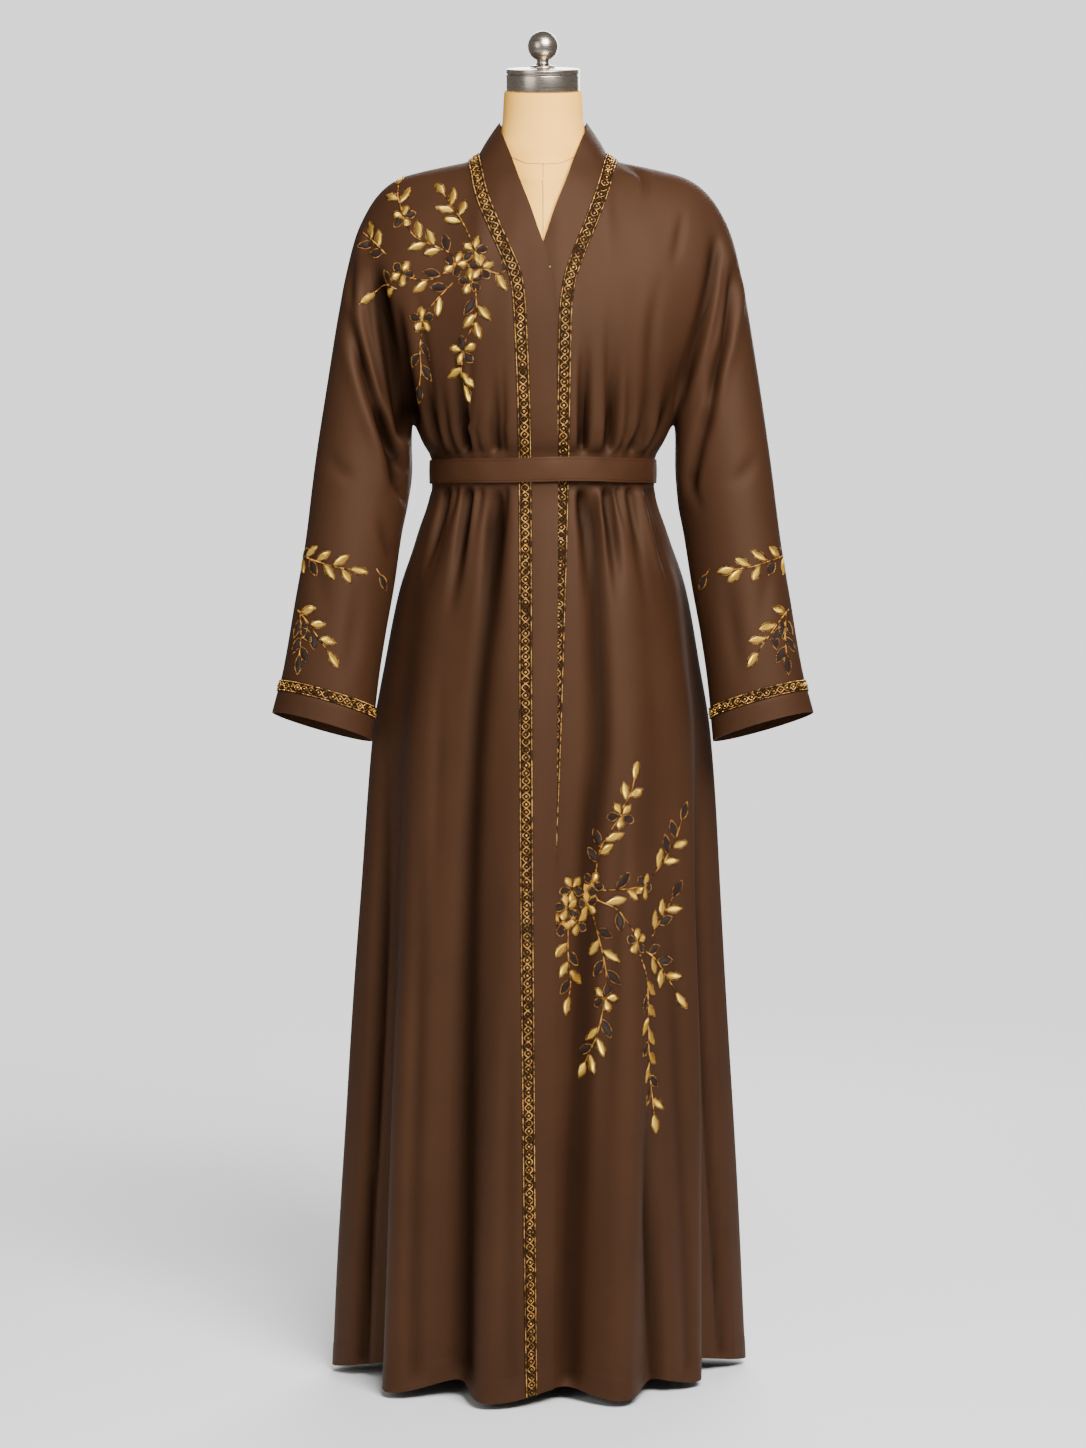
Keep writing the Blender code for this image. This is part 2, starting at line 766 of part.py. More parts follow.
def level_shoulder(patches):
    """On the shoulder seam the wall stands square to the seam's own plane."""
    for patch in patches:
        for i, point in enumerate(patch.points):
            on_line = abs(point[1] - SHOULDER_Y) < 1e-6 and point[2] > SHOULDER_TIP_HEIGHT - 1
            if on_line:
                patch.normals[i][1] = 0
                patch.normals[i] /= np.linalg.norm(patch.normals[i])


def draw_in(patch, edges):
    """Moves a piece's seam edges in by half the seam's gap."""
    moves = np.zeros_like(patch.points)
    for name in edges:
        for i, inner in patch.edge(name):
            step = patch.points[inner] - patch.points[i]
            moves[i] += step / np.linalg.norm(step) * SEAM_GAP / 2
    return patch.points + moves


def rim_faces(a, b, count, base):
    """The two rim triangles over an edge. Both pieces at a seam split theirs the same way."""
    if tuple(np.round(base[a], 3)) < tuple(np.round(base[b], 3)):
        return [[b, a, b + count], [a, a + count, b + count]]
    return [[b, a, a + count], [b, a + count, b + count]]


def wall_mesh(name, points, faces, normals, low, high, base=None):
    """A closed wall between two offsets of a patch."""
    base = points if base is None else base
    count = len(points)
    shell = np.concatenate([points + normals * high, points + normals * low]) * MM
    sides = [(face[k], face[(k + 1) % 3]) for face in faces for k in range(3)]
    inner = set(sides)
    rim = [(a, b) for a, b in sides if (b, a) not in inner]
    made = [list(face) for face in faces]
    made += [[i + count for i in reversed(face)] for face in faces]
    for a, b in rim:
        made += rim_faces(a, b, count, base)
    mesh = bpy.data.meshes.new(name)
    mesh.from_pydata([tuple(p) for p in shell], [], made)
    closed = bmesh.new()
    closed.from_mesh(mesh)
    loose = [v for v in closed.verts if not v.link_faces]
    bmesh.ops.delete(closed, geom=loose, context="VERTS")
    bmesh.ops.recalc_face_normals(closed, faces=closed.faces)
    closed.to_mesh(mesh)
    closed.free()
    mesh.shade_smooth()
    mesh.set_sharp_from_angle(angle=SHARP_ANGLE)
    return mesh


def add_wall(name, patch, edges, collection):
    points = draw_in(patch, edges)
    mesh = wall_mesh(name, points, patch.faces, patch.normals, -WALL, 0.0, patch.points)
    return add_object(name, mesh, "crepe", collection)


def add_overlay(name, points, faces, normals, collection):
    mesh = wall_mesh(name, points, faces, normals, TRIM_LOW, TRIM_HIGH)
    return add_object(name, mesh, "braid", collection)


def part_of(patch, rows, columns):
    """The points, faces and directions of some rows and columns of a patch."""
    picked = [patch.index(r, c) for r in rows for c in columns]
    place = {old: new for new, old in enumerate(picked)}
    inside = [face for face in patch.faces if all(i in place for i in face)]
    faces = [[place[i] for i in face] for face in inside]
    return patch.points[picked], faces, patch.normals[picked]


def add_trim(name, side, front, back, collection):
    """The braid beside the band: up the front, over the shoulder and round the back neck."""
    points, faces, normals = part_of(front, range(front.shape[0]), range(3))
    centre = back.shape[1] // 2
    corner = [centre + side * c for c in range(NECKLINE_COLUMNS + 3)][::-1]
    top = [back.shape[0] - 1, back.shape[0] - 2, back.shape[0] - 3]
    more, more_faces, more_normals = part_of(back, top, corner)
    shift = len(points)
    same = {0: shift - 1, 1: shift - 2, 2: shift - 3}
    faces += [[same.get(i, i + shift) for i in face] for face in more_faces]
    centre_end = [shift + (k + 1) * len(corner) - 1 for k in range(3)]
    points = np.concatenate([points, more])
    points[centre_end, 0] += side * SEAM_GAP / 2
    normals = np.concatenate([normals, more_normals])
    return add_overlay(name, points, faces, normals, collection)


def add_cuff_trim(name, sleeve, collection):
    rows = [sleeve.shape[0] - 3, sleeve.shape[0] - 2]
    points, faces, normals = part_of(sleeve, rows, range(sleeve.shape[1]))
    return add_overlay(name, points, faces, normals, collection)


def add_belt(collection):
    """A plain loop that clears the lifted front and its braid."""
    clear = OVERLAP_LIFT + TRIM_HIGH
    rings = []
    for height in (BELT_BOTTOM, BELT_TOP):
        ring = []
        for i in range(BELT_SIDES):
            angle = 2 * math.pi * i / BELT_SIDES
            radius = float(mean_radius(angle, height)) + BELT_CLEARANCE
            x = radius * math.sin(angle)
            front = ease(math.cos(angle) / 0.3)
            radius += clear * front * ease((BELT_LIFT_X - abs(x)) / BELT_LIFT_EASE)
            ring.append([radius * math.sin(angle), -radius * math.cos(angle), height])
        rings.append(ring)
    patch = Patch(np.array(rings), np.array([0, 0, BELT_TOP]), closed=True)
    patch.normals[:, 2] = 0
    patch.normals /= np.linalg.norm(patch.normals, axis=1, keepdims=True)
    mesh = wall_mesh("belt", patch.points, patch.faces, patch.normals, 0.0, BELT_WALL)
    return add_object("belt", mesh, "crepe", collection)


# The dress form


def ridge_half_width(height):
    """The form's shoulder ridge runs just under the cloth's shoulder line."""
    places = np.linspace(TRIM_TURN_X, SHOULDER_TIP_X, len(SHOULDER_STEPS))
    return float(np.interp(-(height + WALL + RIDGE_GAP), [-h for h in SHOULDER_STEPS], places))


FORM = [
    FormRing(800, 150, 96, 104, 0, 0),
    FormRing(835, 158, 104, 112, 0, 0),
    FormRing(880, 162, 108, 116, 0, 0),
    FormRing(940, 156, 104, 110, 0, 0),
    FormRing(1000, 138, 96, 98, 0, 0),
    FormRing(1050, 122, 88, 86, 0, 0),
    FormRing(1089, 117, 86, 82, 0, 0),
    FormRing(1140, 124, 92, 88, 0, 0),
    FormRing(1200, 136, 98, 92, 0, 0),
    FormRing(1260, 146, 101, 93, 0, 0),
    FormRing(1305, 151, 97, 92, 0, 0),
    FormRing(1345, 158, 90, 90, 0, 0),
    FormRing(1380, 170, 84, 86, 0.10, 5),
    FormRing(1405, 180, 77, 76, 0.20, 5),
    FormRing(1427, ridge_half_width(1427), 76, 64, 0.50, 5),
    FormRing(1435, ridge_half_width(1435), 71, 58, 0.50, 5),
    FormRing(1443, ridge_half_width(1443), 66, 53, 0.50, 5),
    FormRing(1450, ridge_half_width(1450), 60, 50, 0.45, 5),
    FormRing(1456, 76, 56, 50, 0.35, 4),
    FormRing(1463, 65, 53, 49, 0.2, 3),
    FormRing(1472, 58, 50, 48, 0.05, 2),
    FormRing(1485, 51.5, 48, 47.5, 0, 2),
    FormRing(1505, 48, 46.5, 47, 0, 2),
    FormRing(1525, 47, 46.2, 46.5, 0, 1),
    FormRing(1538, 46, 46, 46, 0, 0),
]


def form_ring(ring, tilt):
    points = []
    for i in range(FORM_SIDES):
        angle = 2 * math.pi * i / FORM_SIDES
        x = ring.half_width * math.sin(angle)
        depth = ring.front if math.cos(angle) > 0 else ring.back
        neck = math.exp(-((x / NECK_RISE_WIDTH) ** 2)) * ring.neck_share
        across = math.cos(angle) * (1 - ring.neck_share) + math.copysign(neck, math.cos(angle))
        if abs(math.cos(angle)) < 1e-6:
            across = 0.0
        y = ring.centre_y - depth * across
        points.append([x, y, ring.height + y * math.tan(tilt)])
    return points


def add_torso(collection):
    rings = [form_ring(ring, 0.0) for ring in FORM[:-1]]
    rings.append(form_ring(FORM[-1], CAP_TILT))
    points = [tuple(np.array(p) * MM) for ring in rings for p in ring]
    faces = grid_faces(len(rings), FORM_SIDES, closed=True)
    faces.append(list(range(FORM_SIDES))[::-1])
    faces.append([(len(rings) - 1) * FORM_SIDES + i for i in range(FORM_SIDES)])
    mesh = bpy.data.meshes.new("form_torso")
    mesh.from_pydata(points, [], faces)
    closed = bmesh.new()
    closed.from_mesh(mesh)
    bmesh.ops.recalc_face_normals(closed, faces=closed.faces)
    closed.to_mesh(mesh)
    closed.free()
    mesh.shade_smooth()
    mesh.set_sharp_from_angle(angle=SHARP_ANGLE)
    return add_object("form_torso", mesh, "form_cloth", collection)


def add_turned(name, profile, material, collection, steps=32):
    """A solid of revolution about its own Z axis, from radius and height pairs, top to bottom."""
    mesh = bpy.data.meshes.new(name)
    points = [(r * MM, 0.0, z * MM) for r, z in profile]
    mesh.from_pydata(points, [(i, i + 1) for i in range(len(points) - 1)], [])
    made = add_object(name, mesh, material, collection)
    screw = made.modifiers.new("Turn", "SCREW")
    screw.steps = steps
    screw.render_steps = steps
    screw.use_merge_vertices = True
    screw.merge_threshold = 0.00005
    screw.use_smooth_shade = True
    return made


def add_head_fittings(collection):
    """The nickel cap on the neck and the ball on it, both on the neck's slant."""
    slant = bpy.data.objects.new("neck_slant", None)
    collection.objects.link(slant)
    slant.location = (0.0, 0.0, FORM[-1].height * MM)
    slant.rotation_euler = (CAP_TILT, 0.0, 0.0)
    round_off = 2.5
    top = STAND_GAP + CAP_HEIGHT
    cap = add_turned(
        "form_neck_cap",
        [
            (0, top + 1.5),
            (CAP_RADIUS - 3 * round_off, top + 0.6),
            (CAP_RADIUS - round_off, top),
            (CAP_RADIUS, top - round_off),
            (CAP_RADIUS, STAND_GAP),
            (0, STAND_GAP),
        ],
        "nickel",
        collection,
        32,
    )
    cap.parent = slant
    foot = top + 1.5 + STAND_GAP
    centre = foot + BALL_RADIUS + BALL_NECK_HEIGHT
    ball = [(BALL_RADIUS * math.sin(a), centre + BALL_RADIUS * math.cos(a)) for a in np.linspace(0, 2.62, 10)]
    stem = [(BALL_NECK_RADIUS, foot + 5.5), (BALL_NECK_RADIUS + 2.5, foot + 2.5)]
    flange = [(BALL_FOOT_RADIUS - 0.5, foot + 1.5), (BALL_FOOT_RADIUS, foot), (0, foot)]
    finial = add_turned(
        "form_finial",
        [*ball, *stem, *flange],
        "nickel",
        collection,
        20,
    )
    finial.parent = slant


def add_stand(collection):
    base = add_turned(
        "form_base",
        [
            (0, BASE_THICKNESS),
            (BASE_RADIUS - 5, BASE_THICKNESS),
            (BASE_RADIUS, BASE_THICKNESS - 4),
            (BASE_RADIUS, 0),
            (0, 0),
        ],
        "iron",
        collection,
        48,
    )
    base.location.y = BASE_SET_BACK * MM
    low, high = BASE_THICKNESS + STAND_GAP, FORM[0].height - STAND_GAP
    bpy.ops.mesh.primitive_cylinder_add(
        vertices=16,
        radius=POLE_RADIUS * MM,
        depth=(high - low) * MM,
        location=(0.0, 0.0, (high + low) / 2 * MM),
    )
    pole = bpy.context.object
    pole.name = "form_pole"
    for owner in list(pole.users_collection):
        owner.objects.unlink(pole)
    collection.objects.link(pole)
    pole.data.materials.append(make_material("nickel"))


def main():
    clear_scene()
    collection = make_collection("abaya_on_dress_form")
    chest = np.array([0.0, 0.0, UNDERARM_HEIGHT])
    grids = {side: front_grid(side) for side in (-1, 1)}
    rear = back_grid()
    names = {-1: "right", 1: "left"}
    back = Patch(rear, chest)
    fronts = {side: Patch(grids[side], chest) for side in (-1, 1)}
    bands = {side: Patch(band_grid(side, grids[side], rear), chest) for side in (-1, 1)}
    sleeves = {}
    for side in (-1, 1):
        arm = np.array(ARM_MIDDLE) * [side, 1, 1]
        sleeves[side] = Patch(sleeve_grid(side, grids[side], rear), arm, closed=True)
    patches = [back, *fronts.values(), *bands.values(), *sleeves.values()]
    share_seams(patches)
    level_shoulder([back, *fronts.values()])
    add_wall("back", back, ["first_column", "last_column", "last_row"], collection)
    for side, name in names.items():
        add_wall(f"front_{name}", fronts[side], ["first_column", "last_column", "last_row"], collection)
        add_wall(f"sleeve_{name}", sleeves[side], ["first_row"], collection)
        add_wall(f"band_{name}", bands[side], ["first_column", "last_row"], collection)
        add_trim(f"trim_{name}", side, fronts[side], back, collection)
        add_cuff_trim(f"cuff_trim_{name}", sleeves[side], collection)
    add_belt(collection)
    add_torso(collection)
    add_head_fittings(collection)
    add_stand(collection)


main()
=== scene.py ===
"""The looks of an open abaya cloak on its dress form.

Tables are in millimetres and the scene is in metres. +Z is up, the front faces -Y and +X
is the wearer's left. The cloth follows one surface round the body. Below the armholes a
point is read by its angle and height, and above them by its distance from the middle and
its share of the way up to the shoulder.
"""

import math
from collections import namedtuple

import bmesh
import bpy
import numpy as np
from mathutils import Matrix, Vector
from mathutils.bvhtree import BVHTree


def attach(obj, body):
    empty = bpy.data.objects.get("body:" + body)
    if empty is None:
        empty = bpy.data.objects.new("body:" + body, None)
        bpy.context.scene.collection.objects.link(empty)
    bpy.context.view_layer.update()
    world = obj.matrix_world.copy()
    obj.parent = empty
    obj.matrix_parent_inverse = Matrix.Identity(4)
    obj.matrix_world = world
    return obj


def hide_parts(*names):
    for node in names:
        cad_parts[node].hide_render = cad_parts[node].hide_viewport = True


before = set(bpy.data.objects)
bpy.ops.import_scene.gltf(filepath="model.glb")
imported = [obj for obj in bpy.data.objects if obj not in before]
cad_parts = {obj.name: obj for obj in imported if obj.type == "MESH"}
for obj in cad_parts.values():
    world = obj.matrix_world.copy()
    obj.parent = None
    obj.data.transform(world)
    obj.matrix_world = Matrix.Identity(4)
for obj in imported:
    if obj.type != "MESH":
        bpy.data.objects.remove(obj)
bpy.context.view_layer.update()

MM = 0.001
BODY_NAME = "root"

# The photograph's view
EYE_DISTANCE = 4.0
EYE_HEIGHT = 1.0296
AIM_HEIGHT = 0.785
LENS = 82.9
SENSOR = 36.0

# Cloth
WALL = 1.3
SEAM_GAP = 0.1
TRIM_WIDTH = 15.6
OVERLAP_LIFT = 5.0
OVERLAP_START_X = -120.0
OVERLAP_GROWTH = 50.0
OVERLAP_TOP = 1415.0
OVERLAP_FADE = 60.0
HEM_HEIGHT = 8.0
HEM_DEPTH = 25.0
HEM_STEP = 0.45
FOLD_GROWTH = 1.1
GATHER_START = 0.09
GATHER_STRENGTH = 1.55
# Folds deeper than this many millimetres get the most painted shade, which darkens the cloth's colour and
# lowers its shine
FULL_SHADE_DEPTH = 9.0
SHADE_POWER = 1.6
PAINTED_FOLD_SHADE = 0.72
CLOTH_SHINE = 0.24
# How far from a gather or a crease its raised edge lies, in half-widths, and its share
GATHER_RIDGE_AWAY = 2.2
GATHER_RIDGE_SHARE = 0.6
CREASE_RIDGE_AWAY = 1.9
CREASE_RIDGE_SHARE = 0.55
CREASE_RIDGE_SPREAD = 1.2
HEM_ROWS = 6
# Softening round the armholes: how far it reaches, and the rounds of it
ARMHOLE_SOFT_REACH = 26.0
ARMHOLE_SOFT_ROUNDS = 40
FACING_SOFT_ROUNDS = 60
SHARP_ANGLE = math.radians(48)
CALM_BELOW = 1070.0
CALM_ABOVE = 1106.0

# Belt
BELT_BOTTOM = 1074.0
BELT_TOP = 1102.0
BELT_WALL = 2.0
BELT_CLEARANCE = 0.8
BELT_LIFT = 6.5
BELT_LIFT_X = 125.0
BELT_LIFT_EASE = 70.0
BELT_STITCH_INSET = 2.6
STITCH_SPACING = 3.0
STITCH_LENGTH = 2.3
STITCH_RADIUS = 0.22

# Shoulders, neck and armholes
UNDERARM_HEIGHT = 1137.0
SHOULDER_TIP_X = 205.0
SHOULDER_TIP_HEIGHT = 1408.0
NECK_SIDE_X = 75.6
NECK_SIDE_HEIGHT = 1465.0
TRIM_TURN_X = 88.0
SHOULDER_STEPS = [1456, 1451.5, 1447.5, 1443.0, 1437.5, 1427.0, SHOULDER_TIP_HEIGHT]
SHOULDER_Y = 5.0
BACK_NECK_Y = 62.0
BACK_NECK_HEIGHT = 1452.0
BAND_TOP_HALF_WIDTH = 52.0
BAND_TOP_HEIGHT = 1501.0
BAND_TOP_BACK_HEIGHT = 1494.0
BAND_TOP_BACK_Y = 54.0
BAND_TURN_SHARE = 0.62
BAND_TURN_REACH = 0.12
BAND_ROLL = 0.02

# Sleeves
CUFF_STRAIGHT = 90.0
CUFF_TRIM_EDGE = 26.0
CUFF_TRIM_WIDTH = 13.0
ARM_MIDDLE = (235.0, -20.0, 1080.0)
CUFF_MIDDLE = (260.0, -60.0, 800.0)
CUFF_LEAN = 60.0
CUFF_TILT = math.radians(11)
SLEEVE_HALF_DEPTH = 56.0
CUFF_HALF_DEPTH = 45.0
ARMHOLE_BLEND = 0.35
STRAIGHT_SHARE = 0.85

# Mesh fineness
FRONT_COLUMNS = 78
TRIM_COLUMNS = 4
NECK_COLUMNS = 22
BAND_COLUMNS = 8
SLEEVE_STEPS = 84
TAPE_COLUMNS = 6

# The two sides, the wearer's right and left
SIDES = {-1: "right", 1: "left"}
CHEST_MIDDLE = (0.0, 0.0, UNDERARM_HEIGHT)

BodyRing = namedtuple("BodyRing", "height half_width front_depth back_depth")
BODY = [
    BodyRing(8, 246, 190, 212),
    BodyRing(154, 240, 184, 205),
    BodyRing(334, 230, 176, 195),
    BodyRing(573, 215, 160, 178),
    BodyRing(772, 202, 146, 160),
    BodyRing(860, 188, 137, 148),
    BodyRing(946, 172, 126, 134),
    BodyRing(1010, 151, 115, 118),
    BodyRing(1070, 133, 104, 100),
    BodyRing(1106, 133, 104, 100),
    BodyRing(1120, 145, 110, 106),
    BodyRing(1137, 155, 113, 110),
]

# Angles are in degrees from the middle of the front, positive towards +X.
Fold = namedtuple("Fold", "waist_angle hem_angle hem_radius hem_lift")
SKIRT_FOLDS = [
    Fold(-163, -163, 220, 0),
    Fold(-147, -147, 182, 12),
    Fold(-131, -131, 232, 0),
    Fold(-112, -112, 196, 12),
    Fold(-88, -88, 256, 0),
    Fold(-72, -71, 190, 14),
    Fold(-54, -51.5, 231, 0),
    Fold(-30, -35, 172, 15),
    Fold(-3, -18.5, 202, 0),
    Fold(28, 9, 156, 10),
    Fold(44, 27, 206, 0),
    Fold(58, 46, 180, 10),
    Fold(69, 63, 207, 0),
    Fold(81, 79, 184, 12),
    Fold(95, 96, 249, 0),
    Fold(113, 113, 195, 12),
    Fold(130, 130, 232, 0),
    Fold(146, 146, 184, 12),
    Fold(162, 162, 222, 0),
    Fold(179, 179, 172, 14),
]

# Gathers drawn in by the belt: half-width in degrees, depth and reach in millimetres,
# and how far the cloth stands up beside the gather, as a share of its depth.
Gather = namedtuple("Gather", "angle half_width depth reach_up reach_down ridge")
GATHERS = [
    Gather(-66, 2.6, 6.5, 130, 120, 0.5),
    Gather(-56, 2.0, 3.0, 100, 60, 0.3),
    Gather(-47, 2.7, 8.0, 150, 170, 0.5),
    Gather(-39, 2.2, 2.6, 80, 90, 0.2),
    Gather(-28, 4.0, 5.0, 110, 190, 0.3),
    Gather(-23, 2.0, 2.4, 130, 60, 0.0),
    Gather(19, 1.8, 1.0, 110, 70, 0.0),
    Gather(25, 2.6, 7.5, 150, 150, 0.5),
    Gather(41, 2.7, 7.5, 150, 130, 0.6),
    Gather(49, 2.0, 2.2, 70, 60, 0.2),
    Gather(57, 2.4, 4.0, 90, 110, 0.4),
    Gather(71, 2.8, 8.0, 130, 150, 0.6),
    Gather(93, 2.2, 3.0, 90, 90, 0.3),
    Gather(107, 2.8, 7.0, 120, 140, 0.5),
    Gather(123, 2.8, 7.5, 150, 170, 0.4),
    Gather(132, 2.0, 2.6, 70, 70, 0.2),
    Gather(141, 2.6, 6.0, 120, 130, 0.5),
    Gather(160, 2.8, 7.5, 150, 160, 0.5),
    Gather(170, 2.0, 2.4, 80, 90, 0.2),
    Gather(-176, 2.6, 6.5, 130, 150, 0.5),
    Gather(-157, 2.8, 6.5, 120, 160, 0.5),
    Gather(-147, 2.0, 2.6, 90, 70, 0.2),
    Gather(-137, 2.7, 7.5, 150, 140, 0.5),
    Gather(-117, 2.6, 6.0, 120, 150, 0.5),
    Gather(-101, 2.6, 6.5, 130, 130, 0.5),
    Gather(-86, 2.2, 3.0, 80, 90, 0.3),
]

# Where the band seams and the band's free edges run, seen from the front.
FrontLine = namedtuple("FrontLine", "height right_seam right_edge left_seam left_edge")
FRONT_LINES = [
    FrontLine(8, -8, 12, -23, -53),
    FrontLine(334, -9.5, 13, -12, -41),
    FrontLine(573, -11, 15, -2, -31),
    FrontLine(800, -12, 17, 7, -22),
    FrontLine(1088, -13, 17.5, 15, -15),
    FrontLine(1273, -19, 13.7, 18.5, -13.5),
    FrontLine(1310, -23, 10.5, 23.4, -10),
    FrontLine(1344, -35.6, 2.9, 34.6, -2.5),
    FrontLine(1380, -51.8, -9.4, 49, 9.4),
    FrontLine(1418, -65.7, -24, 62.5, 23.5),
    FrontLine(1465, -75.6, -50, 75.6, 50),
]

# The chest and the upper back, by share of the way up to the shoulder.
ChestRing = namedtuple("ChestRing", "share half_width front_depth back_depth armhole_x")
CHEST = [
    ChestRing(0.0, 155, 113, 110, 155),
    ChestRing(0.1, 166, 114, 112, 158),
    ChestRing(0.38, 207, 115, 113, 180),
    ChestRing(0.65, 240, 113, 112, 204),
    ChestRing(0.85, 244, 112, 110, 207),
    ChestRing(1.0, 244, 112, 108, 205),
]

# The free edge of the band above the chest, where it turns to lie along the neck.
BandEdge = namedtuple("BandEdge", "share half_x y height")
BAND_RISE = [
    BandEdge(0.70, 5.0, -90, 1367),
    BandEdge(0.79, 15.0, -83, 1397),
    BandEdge(0.87, 27.5, -70, 1429),
    BandEdge(0.93, 38.0, -48, 1459),
    BandEdge(0.97, 46.5, -33, 1480),
    BandEdge(0.992, 51.0, -16, 1492),
    BandEdge(1.0, BAND_TOP_HALF_WIDTH, 0, BAND_TOP_HEIGHT),
]

# The sleeve's outline from the front, down to the cuff.
SLEEVE_OUTER = [
    (SHOULDER_TIP_X, SHOULDER_TIP_HEIGHT),
    (222, 1372),
    (238, 1305),
    (256, 1197),
    (270, 1102),
    (282, 1006),
    (294, 934),
    (308, 850),
    (320, 802),
]
SLEEVE_INNER = [
    (155, UNDERARM_HEIGHT),
    (158, 1085),
    (161, 1049),
    (167, 1016),
    (176, 955),
    (187, 893),
    (195, 838),
    (202, 769),
]

# Creases seen from the front or from behind. A negative depth is a raised edge. The
# cloth beside a crease stands up by the ridge's share of its depth, on its right-hand
# side going along it. A fade is the share of its length over which an end dies away.
Crease = namedtuple("Crease", "points half_width depth ridge start_fade end_fade")
